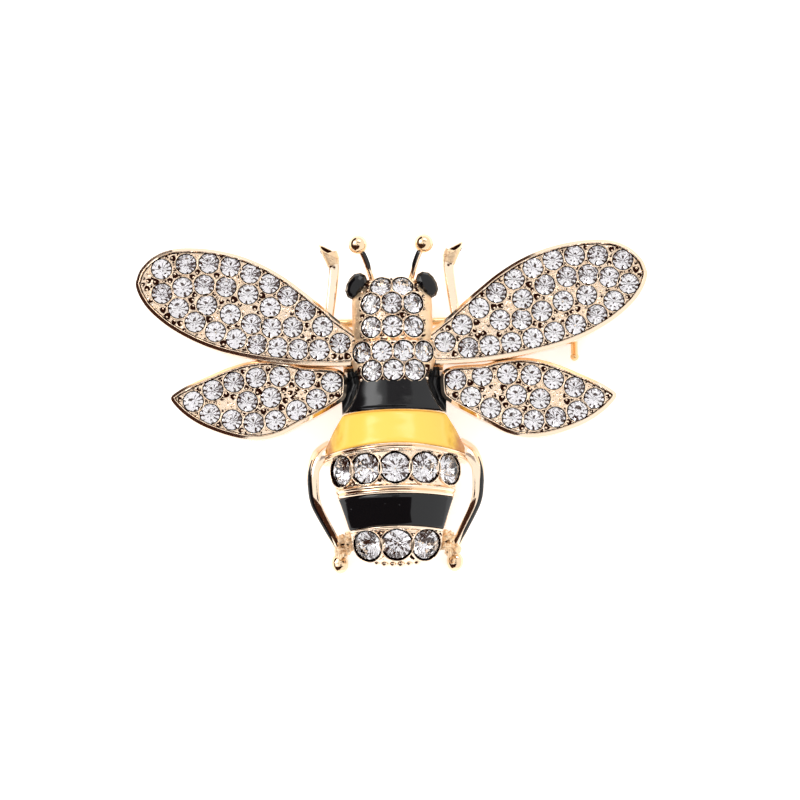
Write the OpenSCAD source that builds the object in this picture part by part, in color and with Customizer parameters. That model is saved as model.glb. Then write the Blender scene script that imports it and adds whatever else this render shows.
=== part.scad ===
// Bee brooch: a hollow cast bee with set stones, enamel bands and a safety pin on its back.
// X runs to the bee's right wing as seen from the front, Y to its head, Z out of its face.
// The brooch lies on its pin finding and hind feet, with the floor at z = 0.

/* [Body] */
// Length of the body from the front of the head to the tail
body_length = 28.2; // [26:0.1:30]
// Width of the body across the yellow shoulders
body_width = 14.6; // [14:0.1:15.4]
// Radius of the domed back at its fullest ring
dome_radius = 7.4; // [7.2:0.05:8]
// Height of the dome's axis above the floor
dome_axis_z = 2.3; // [2:0.05:2.6]
// Height of the body's open back rim above the floor
back_rim_z = 3.2; // [2.9:0.1:3.6]
// Wall of the hollow body
shell_wall = 1.8; // [1.75:0.05:2.1]

/* [Wings] */
// Length of a forewing from root to tip
forewing_length = 22; // [21:0.1:24]
// Width across a forewing
forewing_width = 9.5; // [9:0.1:11]
// Angle that the forewings rise towards the head
forewing_sweep = 18; // [15:0.5:22]
// Height of the forewings' underside above the floor
forewing_z = 4.6; // [4.4:0.1:5]
// Length of a hindwing from root to tip
hindwing_length = 17.1; // [16:0.1:18]
// Width across a hindwing
hindwing_width = 7.8; // [7.4:0.1:9]
// Angle that the left hindwing drops towards the tail
hindwing_drop_left = 3; // [1:0.5:5]
// Angle that the right hindwing drops towards the tail
hindwing_drop_right = 5; // [3:0.5:7]
// Height of the hindwings' underside above the floor
hindwing_z = 3.4; // [3.2:0.1:3.6]
// Thickness of a wing at its rim
wing_plate = 1.45; // [1.4:0.05:1.8]
// Width of the raised rim round a wing
rim_width = 0.36; // [0.3:0.02:0.5]
// Height of the rim above the stones' floor
rim_height = 0.25; // [0.15:0.05:0.4]

/* [Stones] */
// Diameter of the small round stones on the wings, head and thorax
small_stone_d = 1.86; // [1.76:0.02:1.96]
// Diameter of the large round stones on the belly and tail
large_stone_d = 2.7; // [2.4:0.05:2.8]
// Least metal between two neighbouring stones
stone_gap = 0.12; // [0.11:0.01:0.2]
// Free space between a stone and its seat
seat_clearance = 0.05; // [0.03:0.01:0.06]
// Length of an eye stone
eye_length = 2.7; // [2.5:0.1:3]
// Width of an eye stone
eye_width = 1.8; // [1.7:0.05:2]

/* [Enamel] */
// Depth of the enamel in its troughs
enamel_depth = 0.4; // [0.3:0.05:0.5]
// Free space between the enamel and the metal
enamel_gap = 0.03; // [0.02:0.01:0.05]

/* [Legs and antennae] */
// Thickness of the forelegs
foreleg_d = 0.95; // [0.8:0.05:1.2]
// Thickness of the hind legs above the knee
hindleg_d = 1.25; // [1.1:0.05:1.5]
// Thickness of the antennae
antenna_d = 0.56; // [0.5:0.02:0.8]
// Diameter of the antennae's end balls
antenna_ball_d = 1.86; // [1.6:0.02:2.2]

/* [Pin] */
// Diameter of the pin wire
pin_d = 0.8; // [0.7:0.05:0.85]
// Distance from the hinge rivet to the catch
pin_span = 34.4; // [33:0.1:36]
// Length of the point beyond the catch
point_length = 2.2; // [2:0.1:3]
// Height of the pin above the floor
pin_z = 1.4; // [1.35:0.05:1.6]
// Place of the pin along the body, forward of the middle
pin_y = 8.5; // [8.2:0.1:9]
// Diameter of the hinge rivet
rivet_d = 0.8; // [0.7:0.05:0.9]
// Thickness of a hinge ear
ear_wall = 0.6; // [0.5:0.05:0.8]
// Width of the pin's eye between the ears
eye_wide = 1.3; // [1.1:0.1:1.6]
// Length of the catch's turning sleeve
sleeve_length = 2.6; // [2.4:0.1:3.2]
// Length of the catch lever from the pin
lever_length = 4.2; // [3.9:0.1:4.8]
// Running clearance of the turning parts
running_gap = 0.05; // [0.04:0.01:0.06]

/* [Hidden] */
$fn = 48;

// Where the front of the head lies: the body runs from here towards the tail
head_front = 0.44 * body_length;
big = 100;

// Body sections from head to tail: share of the length, share of the dome radius,
// share of half the body width
BODY = [
    [0.000, 0.40, 0.25],
    [0.014, 0.55, 0.36],
    [0.046, 0.66, 0.50],
    [0.075, 0.715, 0.53],
    [0.105, 0.735, 0.535],
    [0.205, 0.735, 0.535],
    [0.220, 0.700, 0.525],
    [0.228, 0.700, 0.530],
    [0.240, 0.775, 0.545],
    [0.300, 0.800, 0.545],
    [0.370, 0.810, 0.490],
    [0.430, 0.830, 0.570],
    [0.475, 0.855, 0.675],
    [0.530, 0.905, 0.835],
    [0.570, 0.945, 0.930],
    [0.602, 0.975, 0.985],
    [0.624, 0.985, 1.000],
    [0.630, 0.985, 0.815],
    [0.740, 0.965, 0.810],
    [0.770, 0.950, 0.770],
    [0.875, 0.840, 0.625],
    [0.925, 0.790, 0.600],
    [0.970, 0.680, 0.440],
    [1.000, 0.520, 0.250]
];
// Bands across the body: share of the length where each begins and ends
BLACK_THORAX = [0.376, 0.474];
YELLOW = [0.484, 0.594];
CRYSTAL = [0.620, 0.738];
BLACK_BELLY = [0.770, 0.874];
TAIL_FLOOR = [0.888, 1.000];
crystal_sink = 0.3;
tail_sink = 0.25;

function body_y(share) = head_front - share * body_length;
function lift(share, table, column, i = 0) =
    i >= len(table) - 2 || share <= table[i + 1][0]
    ? table[i][column] + (share - table[i][0]) / (table[i + 1][0] - table[i][0])
        * (table[i + 1][column] - table[i][column])
    : lift(share, table, column, i + 1);
function dome_r(share) = dome_radius * lift(share, BODY, 1);
function half_width(share) = body_width / 2 * lift(share, BODY, 2);

// A closed smooth curve through a table's points
function curve(a, b, c, d, t) =
    0.5 * ((2 * b) + (c - a) * t + (2 * a - 5 * b + 4 * c - d) * t * t
    + (3 * b - a - 3 * c + d) * t * t * t);
function smooth(pts, steps) = [
    for (i = [0 : len(pts) - 1], k = [0 : steps - 1])
        let (n = len(pts))
        curve(pts[(i + n - 1) % n], pts[i], pts[(i + 1) % n], pts[(i + 2) % n], k / steps)
];
// The same curve moved inwards, for an outline that runs clockwise
function inset(pts, d) = [
    for (i = [0 : len(pts) - 1])
        let (n = len(pts), s = pts[(i + 1) % n] - pts[(i + n - 1) % n])
        pts[i] + d * [s[1], -s[0]] / norm(s)
];

// Forewing outline from the root along the front edge to the tip and back:
// share of the length, share of the width
FOREWING = [
    [-0.035, 0.110], [0.000, 0.158], [0.091, 0.232], [0.182, 0.326], [0.273, 0.411],
    [0.364, 0.490], [0.473, 0.553], [0.582, 0.580], [0.691, 0.568], [0.800, 0.520],
    [0.895, 0.437], [0.960, 0.311], [0.995, 0.158], [1.000, 0.042],
    [0.994, -0.030], [0.960, -0.132], [0.900, -0.237], [0.800, -0.337], [0.682, -0.400],
    [0.573, -0.423], [0.473, -0.416], [0.364, -0.389], [0.273, -0.353],
    [0.182, -0.313], [0.091, -0.258], [0.000, -0.195], [-0.035, -0.130]
];
// Hindwing outline in the same way
HINDWING = [
    [0.000, 0.110], [0.060, 0.215], [0.234, 0.270], [0.322, 0.333], [0.444, 0.378],
    [0.544, 0.372], [0.655, 0.321], [0.760, 0.244], [0.889, 0.141], [0.970, 0.052],
    [1.000, -0.013], [0.982, -0.103], [0.924, -0.244], [0.842, -0.378], [0.737, -0.494],
    [0.632, -0.577], [0.544, -0.615], [0.468, -0.615], [0.380, -0.571], [0.281, -0.474],
    [0.187, -0.385], [0.099, -0.295], [0.020, -0.190], [0.000, -0.060]
];
// Rows of stones: count, first and last stone as shares of the wing's length,
// bow and skew of the row as shares of the length, and how far the row bunches outwards
FORE_ROWS_LEFT = [
    [10, [0.055, 0.004], [0.907, 0.093], 0.130, -0.046, 0.05],
    [7, [0.276, 0.012], [0.872, -0.011], 0.100, -0.008, 0.22],
    [5, [0.363, -0.017], [0.783, -0.053], 0.026, -0.052, -0.18],
    [7, [0.134, -0.051], [0.694, -0.091], -0.036, 0.003, -0.05]
];
FORE_ROWS_RIGHT = [
    [10, [0.051, 0.000], [0.915, 0.089], 0.131, -0.051, 0.05],
    [7, [0.313, 0.014], [0.904, -0.020], 0.104, -0.016, 0.28],
    [5, [0.403, -0.016], [0.816, -0.071], 0.046, -0.036, -0.11],
    [7, [0.140, -0.058], [0.724, -0.105], -0.030, 0.004, -0.05]
];
HIND_ROWS = [
    [7, [0.084, 0.018], [0.874, -0.035], 0.084, -0.018, 0.12],
    [3, [0.175, -0.073], [0.568, -0.058], 0.020, 0.000, 0.63],
    [5, [0.292, -0.129], [0.784, -0.114], -0.061, -0.018, 0.00]
];

// Wing roots: share of half the body's width, share of its length
forewing_root = [0.548 * body_width / 2, body_y(0.2485)];
hindwing_root = [0.630 * body_width / 2, body_y(0.3691)];
fore_outline = smooth([for (p = FOREWING) [p[0] * forewing_length, p[1] * forewing_width]], 2);
hind_outline = smooth([for (p = HINDWING) [p[0] * hindwing_length, p[1] * hindwing_width]], 2);

function row_points(row, span) =
    let (a = row[1] * span, b = row[2] * span, d = b - a, side = [-d[1], d[0]] / norm(d))
    [for (i = [0 : row[0] - 1])
        let (s = i / (row[0] - 1), t = s + row[5] * s * (1 - s))
        a + d * t + side * span * 4 * t * (1 - t) * (row[3] + row[4] * (1 - 2 * t))];
function near(p, pts, reach) = len([for (q = pts) if (norm(p - q) < reach) 1]) > 0;
// Stones are laid row by row, and one that would crowd a neighbour or the edge is left out
function lay(pts, outline, stone_d, i = 0, laid = []) =
    i == len(pts) ? laid
    : lay(pts, outline, stone_d, i + 1,
        near(pts[i], laid, stone_d + stone_gap)
        || near(pts[i], outline, stone_d / 2 + seat_clearance + rim_width / 2)
        ? laid : concat(laid, [pts[i]]));
function wing_stones(rows, span, outline) =
    lay([for (row = rows) each row_points(row, span)], outline, small_stone_d);
fore_left = wing_stones(FORE_ROWS_LEFT, forewing_length, fore_outline);
fore_right = wing_stones(FORE_ROWS_RIGHT, forewing_length, fore_outline);
hind_both = wing_stones(HIND_ROWS, hindwing_length, hind_outline);

// Stone proportions as shares of the radius
table_share = 0.56;
crown_share = 0.36;
girdle_share = 0.08;
pavilion_share = 0.82;
floor_z = wing_plate - rim_height;

// Stones on the body: share of the length, angle round the dome in pitches, lean to the front
HEAD_STONES = [
    [0.046, -0.5, 26], [0.046, 0.5, 26],
    [0.107, -1, 3], [0.107, 0, 3], [0.107, 1, 3],
    [0.188, -1, 0], [0.188, 0, 0], [0.188, 1, 0]
];
THORAX_STONES = [
    [0.276, -1.5, 0], [0.276, -0.5, 0], [0.276, 0.5, 0], [0.276, 1.5, 0],
    [0.342, -1, 0], [0.342, 0, 0], [0.342, 1, 0]
];
BELLY_STONES = [[0.680, -2, 0], [0.680, -1, 0], [0.680, 0, 0], [0.680, 1, 0], [0.680, 2, 0]];
TAIL_STONES = [[0.937, -1, -17], [0.937, 0, -17], [0.937, 1, -17]];

// A place on the right side: share of half the body's width, share of its length, and a height
function place(wide, share, z) = [wide * body_width / 2, body_y(share), z];
function on_axis(part) = dome_axis_z + part * dome_radius;

// Eye stones: place on the head's shoulders, height and turn
eye_place = place(0.4726, 0.046, on_axis(0.5068));
eye_turn = 46;
eye_lean = 14;
eye_cup_wall = 0.2;

// Leg and antenna joints on the right side, each a place and a share of the thickness
foot_d = 1.2 * hindleg_d;
leg_z = back_rim_z + 0.64 * hindleg_d;
HIND_LEG = [
    [place(0.925, 0.621, leg_z), 1.0], [place(1.103, 0.685, leg_z + 0.08 * hindleg_d), 1.0],
    [place(1.110, 0.780, leg_z), 0.9], [place(1.062, 0.812, leg_z - 0.16 * hindleg_d), 0.75],
    [place(0.815, 0.933, leg_z - 1.36 * hindleg_d), 0.75], [place(0.753, 0.986, foot_d / 2), 0.75]
];
// Lump that joins a hind foot to the tail
TAIL_LUMP = place(0.466, 0.908, back_rim_z + 0.96 * hindleg_d);
arm_z = forewing_z - 0.474 * foreleg_d;
FORE_LEG = [
    [place(0.890, 0.178, arm_z), 1.0], [place(0.771, -0.030, arm_z), 1.1],
    [place(0.808, -0.0870, arm_z + 0.16 * foreleg_d), 1.35]
];
ANTENNA = [
    [place(0.240, 0.025, on_axis(0.392)), 1.0], [place(0.342, -0.049, on_axis(0.541)), 1.0],
    [place(0.438, -0.097, on_axis(0.595)), 1.0]
];

// Pin finding
hinge_x = -pin_span / 2 + 0.6;
catch_x = pin_span / 2 + 0.6;
ear_r = pin_z;
sleeve_bore_r = pin_d / 2 + 2 * running_gap;
sleeve_r = sleeve_bore_r + 0.4;
housing_bore_r = sleeve_r + running_gap;
housing_r = pin_z;
cheek_wall = 0.6;
finding_root = 0.3;
finding_top = forewing_z + finding_root - pin_z;
slot_wide = pin_d + 0.15;
lip_drop = 0.42;
neck_d = pin_d + 0.35;
neck_reach = ear_r + 0.4;
ground_d = pin_d - 0.2;
wire_reach = catch_x - hinge_x - sleeve_length / 2 - running_gap - cheek_wall - 0.15;
lever_d = 0.7;
knob_d = 0.85;

gold = [0.93, 0.76, 0.53];

module rod(a, b, r1, r2) {
    d = b - a;
    translate(a)
        rotate([0, acos(d[2] / norm(d)), atan2(d[1], d[0])])
            cylinder(h = norm(d), r1 = r1, r2 = r2);
}

// A bent rod with joints a little fuller than the rod
module limb(joints, d) {
    for (i = [0 : len(joints) - 1]) {
        translate(joints[i][0])
            sphere(r = 1.05 * joints[i][1] * d / 2);
        if (i > 0)
            rod(joints[i - 1][0], joints[i][0], joints[i - 1][1] * d / 2, joints[i][1] * d / 2);
    }
}

// The body's plan, drawn in by a distance
module body_plan(draw_in) {
    n = len(BODY) - 1;
    side = [for (i = [0 : n])
        [half_width(BODY[i][0]) - draw_in,
        body_y(BODY[i][0]) + (i == 0 ? -draw_in : i == n ? draw_in : 0)]];
    polygon(concat(side, [for (i = [n : -1 : 0]) [-side[i][0], side[i][1]]]));
}

// The body's domed skin as a turned solid about an axis along Y
module body_dome(draw_in) {
    n = len(BODY) - 1;
    translate([0, 0, dome_axis_z])
        rotate([-90, 0, 0])
            rotate_extrude($fn = 96)
                polygon(concat(
                    [[0, body_y(0)]],
                    [for (i = [0 : n]) [dome_r(BODY[i][0]) - draw_in, body_y(BODY[i][0])]],
                    [[0, body_y(1)]]));
}

module body_form(draw_in, from_z) {
    intersection() {
        translate([0, 0, from_z])
            linear_extrude(big)
                body_plan(draw_in);
        body_dome(draw_in);
    }
}

// A turned band of the body between two sections, from a depth under the skin to a height over it
module band(ends, under, over, short = 0) {
    a = body_y(ends[0]) - short;
    b = body_y(ends[1]) + short;
    knots = concat([ends[0]], [for (s = BODY) if (s[0] > ends[0] && s[0] < ends[1]) s[0]], [ends[1]]);
    m = len(knots) - 1;
    function at(i) = i == 0 ? a : i == m ? b : body_y(knots[i]);
    translate([0, 0, dome_axis_z])
        rotate([-90, 0, 0])
            rotate_extrude($fn = 96)
                polygon(concat(
                    [for (i = [0 : m]) [dome_r(knots[i]) - under, at(i)]],
                    [for (i = [m : -1 : 0]) [dome_r(knots[i]) + over, at(i)]]));
}

// Frame of a place on the dome: z out of the skin
module on_dome(share, angle, lean, sink = 0) {
    translate([0, body_y(share), dome_axis_z])
        rotate([0, angle, 0])
            translate([0, 0, dome_r(share) - sink])
                rotate([-lean, 0, 0])
                    children();
}
function pitch_angle(share, stone_d, sink = 0) =
    2 * asin((stone_d + 2 * seat_clearance + stone_gap) / 2 / (dome_r(share) - sink));

// Stone with its girdle's top at z = 0: table, eight crown facets, girdle and eight below
module cut_stone(d) {
    r = d / 2;
    n = 8;
    function ring(k, z) = [for (i = [0 : n - 1]) [k * r * cos(i * 360 / n), k * r * sin(i * 360 / n), z]];
    pts = concat(
        [[0, 0, -(girdle_share + pavilion_share) * r]],
        ring(1, -girdle_share * r), ring(1, 0), ring(table_share, crown_share * r));
    polyhedron(pts, concat(
        [for (i = [0 : n - 1]) [0, 1 + i, 1 + (i + 1) % n]],
        [for (i = [0 : n - 1]) [1 + i, 1 + n + i, 1 + n + (i + 1) % n, 1 + (i + 1) % n]],
        [for (i = [0 : n - 1])
            [1 + n + i, 1 + 2 * n + i, 1 + 2 * n + (i + 1) % n, 1 + n + (i + 1) % n]],
        [[for (i = [n - 1 : -1 : 0]) 1 + 2 * n + i]]), convexity = 2);
}

// Conical seat for a stone, open upwards
module seat(d) {
    r = d / 2;
    c = seat_clearance;
    slope = pavilion_share;
    below = c * sqrt(1 + slope * slope);
    rotate_extrude()
        polygon([
            [0, -(girdle_share + pavilion_share) * r - below],
            [r + c, -girdle_share * r + c * slope - below],
            [r + c, 1.6 * r],
            [0, 1.6 * r]]);
}

// Long stone for an eye, with cut corners
function eye_ring(l, w, z) = [for (p = [
        [0.5, 0.10], [0.22, 0.5], [-0.22, 0.5], [-0.5, 0.10],
        [-0.5, -0.10], [-0.22, -0.5], [0.22, -0.5], [0.5, -0.10]]) [p[0] * l, p[1] * w, z]];
module eye_stone() {
    n = 8;
    crown = 0.256 * eye_width;
    girdle = 0.062 * eye_width;
    base = 0.308 * eye_width;
    pts = concat(
        eye_ring(0.35 * eye_length, 0.35 * eye_width, -girdle - base),
        eye_ring(eye_length, eye_width, -girdle),
        eye_ring(eye_length, eye_width, 0),
        eye_ring(0.62 * eye_length, 0.5 * eye_width, crown));
    polyhedron(pts, concat(
        [[for (i = [0 : n - 1]) i]],
        [for (k = [0 : 2], i = [0 : n - 1])
            [k * n + i, (k + 1) * n + i, (k + 1) * n + (i + 1) % n, k * n + (i + 1) % n]],
        [[for (i = [n - 1 : -1 : 0]) 3 * n + i]]), convexity = 2);
}
module eye_outline(grow) {
    polygon([for (p = eye_ring(eye_length + 2 * grow, eye_width + 2 * grow, 0)) [p[0], p[1]]]);
}
module at_eye(side) {
    mirror([side < 0 ? 1 : 0, 0, 0])
        translate(eye_place)
            rotate([0, eye_lean, -eye_turn])
                children();
}

// Wing frames
module at_wing(side, root, turn, z) {
    mirror([side < 0 ? 1 : 0, 0, 0])
        translate([root[0], root[1], z])
            rotate([0, 0, turn])
                children();
}
module at_forewing(side) {
    at_wing(side, forewing_root, forewing_sweep, forewing_z) children();
}
module at_hindwing(side) {
    at_wing(side, hindwing_root, side < 0 ? -hindwing_drop_left : -hindwing_drop_right, hindwing_z)
        children();
}
module wing_blank(outline) {
    difference() {
        linear_extrude(wing_plate)
            polygon(outline);
        translate([0, 0, floor_z])
            linear_extrude(1)
                polygon(inset(outline, rim_width));
    }
}
module wing_seats(places) {
    for (p = places)
        translate([p[0], p[1], floor_z])
            seat(small_stone_d);
}
module wing_stone_field(places) {
    for (p = places)
        translate([p[0], p[1], floor_z])
            rotate([0, 0, 22.5])
                cut_stone(small_stone_d);
}

// Stones and seats of the body, by one rule
module body_places(table, d, sink) {
    for (s = table)
        on_dome(s[0], s[1] * pitch_angle(s[0], d, sink), s[2], sink)
            children();
}
module body_stone(table, i, d, sink) {
    s = table[i - 1];
    color("white")
        on_dome(s[0], s[1] * pitch_angle(s[0], d, sink), s[2], sink)
            cut_stone(d);
}

// Metal webs between the thorax and the hindwings' roots
web_top = hindwing_z + floor_z - enamel_depth;
web_lap = 0.3;
slab_short = 0.15;
web_reach = hindwing_root[0] + web_lap;
slab_reach = hindwing_root[0] - slab_short;
web_front = body_y(0.298);
slab_front = body_y(0.3194);
module webs(top) {
    translate([0, 0, back_rim_z])
        linear_extrude(top - back_rim_z)
            polygon([
                [-web_reach, body_y(BLACK_THORAX[1])], [-web_reach, web_front],
                [web_reach, web_front], [web_reach, body_y(BLACK_THORAX[1])]]);
}
// Plan of the black enamel between the thorax stones and the yellow band
module thorax_slab(short) {
    wide = 0.534 * body_width / 2;
    narrow = 0.452 * body_width / 2;
    linear_extrude(big)
        polygon([
            [-slab_reach + short, body_y(BLACK_THORAX[1]) + short],
            [-slab_reach + short, slab_front - short], [-wide - short, slab_front - short],
            [-narrow - short, body_y(BLACK_THORAX[0]) - short],
            [narrow + short, body_y(BLACK_THORAX[0]) - short],
            [wide + short, slab_front - short], [slab_reach - short, slab_front - short],
            [slab_reach - short, body_y(BLACK_THORAX[1]) + short]]);
}
module thorax_core(grow) {
    body_form(enamel_depth - grow, back_rim_z);
    webs(web_top + grow);
}

module hollow() {
    body_form(shell_wall, 0);
}

module hinge_ears() {
    half = eye_wide / 2 + running_gap;
    for (s = [-1, 1])
        translate([hinge_x, pin_y + s * (half + ear_wall / 2), 0])
            difference() {
                union() {
                    translate([0, ear_wall / 2, pin_z])
                        rotate([90, 0, 0])
                            cylinder(h = ear_wall, r = ear_r);
                    translate([-ear_r, -ear_wall / 2, pin_z])
                        cube([2 * ear_r, ear_wall, finding_top]);
                }
                translate([0, ear_wall, pin_z])
                    rotate([90, 0, 0])
                        cylinder(h = 2 * ear_wall, r = rivet_d / 2 + running_gap / 2);
            }
    translate([hinge_x - ear_r, pin_y - half - ear_wall, pin_z + ear_r])
        cube([2 * ear_r, 2 * (half + ear_wall), finding_top - ear_r]);
}

// Catch housing: two slotted cheeks and a roofed bore between them for the sleeve
module catch_housing() {
    inner = sleeve_length + 2 * running_gap;
    whole = inner + 2 * cheek_wall;
    translate([catch_x, pin_y, pin_z])
        difference() {
            union() {
                rotate([0, 90, 0])
                    cylinder(h = whole, r = housing_r, center = true);
                translate([-whole / 2, -housing_r, 0])
                    cube([whole, 2 * housing_r, finding_top]);
            }
            rotate([0, 90, 0])
                cylinder(h = inner, r = housing_bore_r, center = true);
            translate([-inner / 2, -big, -big])
                cube([inner, 2 * big, big - lip_drop]);
            translate([-inner / 2, -big, -big])
                cube([inner, big, big + lever_d / 2 + running_gap]);
            rotate([0, 90, 0])
                cylinder(h = 2 * whole, r = slot_wide / 2, center = true);
            translate([-whole, -slot_wide / 2, -big])
                cube([2 * whole, slot_wide, big]);
        }
}

// Hollow body with its eye cups, troughs for the enamel and seats for its stones
module body_metal() {
    difference() {
        union() {
            body_form(0, back_rim_z);
            webs(web_top + enamel_depth);
            for (side = [-1, 1])
                at_eye(side)
                    translate([0, 0, -0.975 * eye_width])
                        linear_extrude(0.95 * eye_width)
                            eye_outline(eye_cup_wall);
        }
        hollow();
        difference() {
            translate([0, 0, web_top])
                thorax_slab(0);
            thorax_core(0);
        }
        band(YELLOW, enamel_depth, 3);
        band(CRYSTAL, crystal_sink, 3);
        band(BLACK_BELLY, enamel_depth, 3);
        band(TAIL_FLOOR, tail_sink, 3);
        for (side = [-1, 1])
            at_eye(side)
                translate([0, 0, -0.46 * eye_width])
                    linear_extrude(2 * eye_width)
                        eye_outline(seat_clearance);
        body_places(HEAD_STONES, small_stone_d, 0)
            seat(small_stone_d);
        body_places(THORAX_STONES, small_stone_d, 0)
            seat(small_stone_d);
        body_places(BELLY_STONES, large_stone_d, crystal_sink)
            seat(large_stone_d);
        body_places(TAIL_STONES, large_stone_d, tail_sink)
            seat(large_stone_d);
    }
}

module wing_metal(outline, places) {
    difference() {
        wing_blank(outline);
        wing_seats(places);
    }
}

// Legs and antennae of the right side
module limbs() {
    limb(HIND_LEG, hindleg_d);
    translate(HIND_LEG[5][0])
        sphere(d = foot_d);
    rod(TAIL_LUMP, HIND_LEG[4][0], 0.56 * hindleg_d, 0.32 * hindleg_d);
    limb(FORE_LEG, foreleg_d);
    limb(ANTENNA, antenna_d);
    translate(ANTENNA[2][0])
        sphere(d = antenna_ball_d);
}

module casting() {
    color(gold) {
        body_metal();
        at_forewing(-1)
            wing_metal(fore_outline, fore_left);
        at_forewing(1)
            wing_metal(fore_outline, fore_right);
        for (side = [-1, 1]) {
            at_hindwing(side)
                wing_metal(hind_outline, hind_both);
            mirror([side < 0 ? 1 : 0, 0, 0])
                limbs();
        }
        hinge_ears();
        catch_housing();
    }
}

module enamel_thorax() {
    color([0.05, 0.05, 0.06])
        difference() {
            intersection() {
                translate([0, 0, web_top + enamel_gap])
                    thorax_slab(enamel_gap);
                union() {
                    body_form(0, back_rim_z);
                    webs(web_top + enamel_depth);
                }
            }
            thorax_core(enamel_gap);
            body_places(THORAX_STONES, small_stone_d, 0)
                seat(small_stone_d + 2 * enamel_gap);
        }
}

module band_enamel(ends) {
    intersection() {
        translate([0, 0, back_rim_z])
            linear_extrude(big)
                body_plan(0);
        band(ends, enamel_depth - enamel_gap, 0, enamel_gap);
    }
}
module enamel_yellow_band() {
    color([0.95, 0.76, 0.18])
        band_enamel(YELLOW);
}
module enamel_black_band() {
    color([0.05, 0.05, 0.06])
        band_enamel(BLACK_BELLY);
}

module forewing_stones_left() {
    color("white")
        at_forewing(-1)
            wing_stone_field(fore_left);
}
module forewing_stones_right() {
    color("white")
        at_forewing(1)
            wing_stone_field(fore_right);
}
module hindwing_stones_left() {
    color("white")
        at_hindwing(-1)
            wing_stone_field(hind_both);
}
module hindwing_stones_right() {
    color("white")
        at_hindwing(1)
            wing_stone_field(hind_both);
}
module eye_left() {
    color([0.08, 0.08, 0.09])
        at_eye(-1)
            eye_stone();
}
module eye_right() {
    color([0.08, 0.08, 0.09])
        at_eye(1)
            eye_stone();
}

// Pin wire with a flat eye on the rivet, a neck that tapers past the ears and a long ground
// point that starts before the catch
module pin_stem() {
    reach = catch_x - hinge_x + sleeve_length / 2 + cheek_wall;
    color(gold)
        translate([hinge_x, pin_y, pin_z])
            difference() {
                union() {
                    rotate([90, 0, 0])
                        cylinder(h = eye_wide, r = rivet_d / 2 + 0.55, center = true);
                    rotate([0, 90, 0])
                        cylinder(h = neck_reach, d1 = neck_d, d2 = pin_d);
                    translate([neck_reach, 0, 0])
                        rotate([0, 90, 0])
                            cylinder(h = wire_reach - neck_reach, d = pin_d);
                    translate([wire_reach, 0, 0])
                        rotate([0, 90, 0])
                            cylinder(h = reach - wire_reach, d1 = pin_d, d2 = ground_d);
                    translate([reach, 0, 0])
                        rotate([0, 90, 0])
                            cylinder(h = point_length, r1 = ground_d / 2, r2 = 0.08);
                }
                rotate([90, 0, 0])
                    cylinder(h = 2 * eye_wide, r = rivet_d / 2 + running_gap, center = true);
            }
}

module hinge_rivet() {
    long = eye_wide + 2 * running_gap + 2 * ear_wall;
    color(gold)
        translate([hinge_x, pin_y, pin_z])
            rotate([90, 0, 0])
                cylinder(h = long, d = rivet_d, center = true);
}

// Turning sleeve with its slot down and its lever towards the tail
module catch_lever() {
    color(gold)
        translate([catch_x, pin_y, pin_z]) {
            difference() {
                union() {
                    rotate([0, 90, 0])
                        cylinder(h = sleeve_length, r = sleeve_r, center = true);
                    rotate([90, 0, 0])
                        cylinder(h = lever_length - knob_d / 2, d = lever_d);
                    translate([0, -lever_length + knob_d / 2, 0])
                        sphere(d = knob_d);
                }
                rotate([0, 90, 0])
                    cylinder(h = 2 * sleeve_length, r = sleeve_bore_r, center = true);
                translate([-sleeve_length, -slot_wide / 2, -big])
                    cube([2 * sleeve_length, slot_wide, big]);
            }
        }
}

casting();
enamel_thorax();
enamel_yellow_band();
enamel_black_band();
forewing_stones_left();
forewing_stones_right();
hindwing_stones_left();
hindwing_stones_right();
body_stone(HEAD_STONES, 1, small_stone_d, 0);  // head_stone_1
body_stone(HEAD_STONES, 2, small_stone_d, 0);  // head_stone_2
body_stone(HEAD_STONES, 3, small_stone_d, 0);  // head_stone_3
body_stone(HEAD_STONES, 4, small_stone_d, 0);  // head_stone_4
body_stone(HEAD_STONES, 5, small_stone_d, 0);  // head_stone_5
body_stone(HEAD_STONES, 6, small_stone_d, 0);  // head_stone_6
body_stone(HEAD_STONES, 7, small_stone_d, 0);  // head_stone_7
body_stone(HEAD_STONES, 8, small_stone_d, 0);  // head_stone_8
body_stone(THORAX_STONES, 1, small_stone_d, 0);  // thorax_stone_1
body_stone(THORAX_STONES, 2, small_stone_d, 0);  // thorax_stone_2
body_stone(THORAX_STONES, 3, small_stone_d, 0);  // thorax_stone_3
body_stone(THORAX_STONES, 4, small_stone_d, 0);  // thorax_stone_4
body_stone(THORAX_STONES, 5, small_stone_d, 0);  // thorax_stone_5
body_stone(THORAX_STONES, 6, small_stone_d, 0);  // thorax_stone_6
body_stone(THORAX_STONES, 7, small_stone_d, 0);  // thorax_stone_7
body_stone(BELLY_STONES, 1, large_stone_d, crystal_sink);  // belly_stone_1
body_stone(BELLY_STONES, 2, large_stone_d, crystal_sink);  // belly_stone_2
body_stone(BELLY_STONES, 3, large_stone_d, crystal_sink);  // belly_stone_3
body_stone(BELLY_STONES, 4, large_stone_d, crystal_sink);  // belly_stone_4
body_stone(BELLY_STONES, 5, large_stone_d, crystal_sink);  // belly_stone_5
body_stone(TAIL_STONES, 1, large_stone_d, tail_sink);  // tail_stone_1
body_stone(TAIL_STONES, 2, large_stone_d, tail_sink);  // tail_stone_2
body_stone(TAIL_STONES, 3, large_stone_d, tail_sink);  // tail_stone_3
eye_left();
eye_right();
pin_stem();
hinge_rivet();
catch_lever();
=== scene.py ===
import math

import bmesh
import bpy
import numpy as np
from mathutils import Matrix, Vector, noise
from mathutils.geometry import delaunay_2d_cdt


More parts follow.
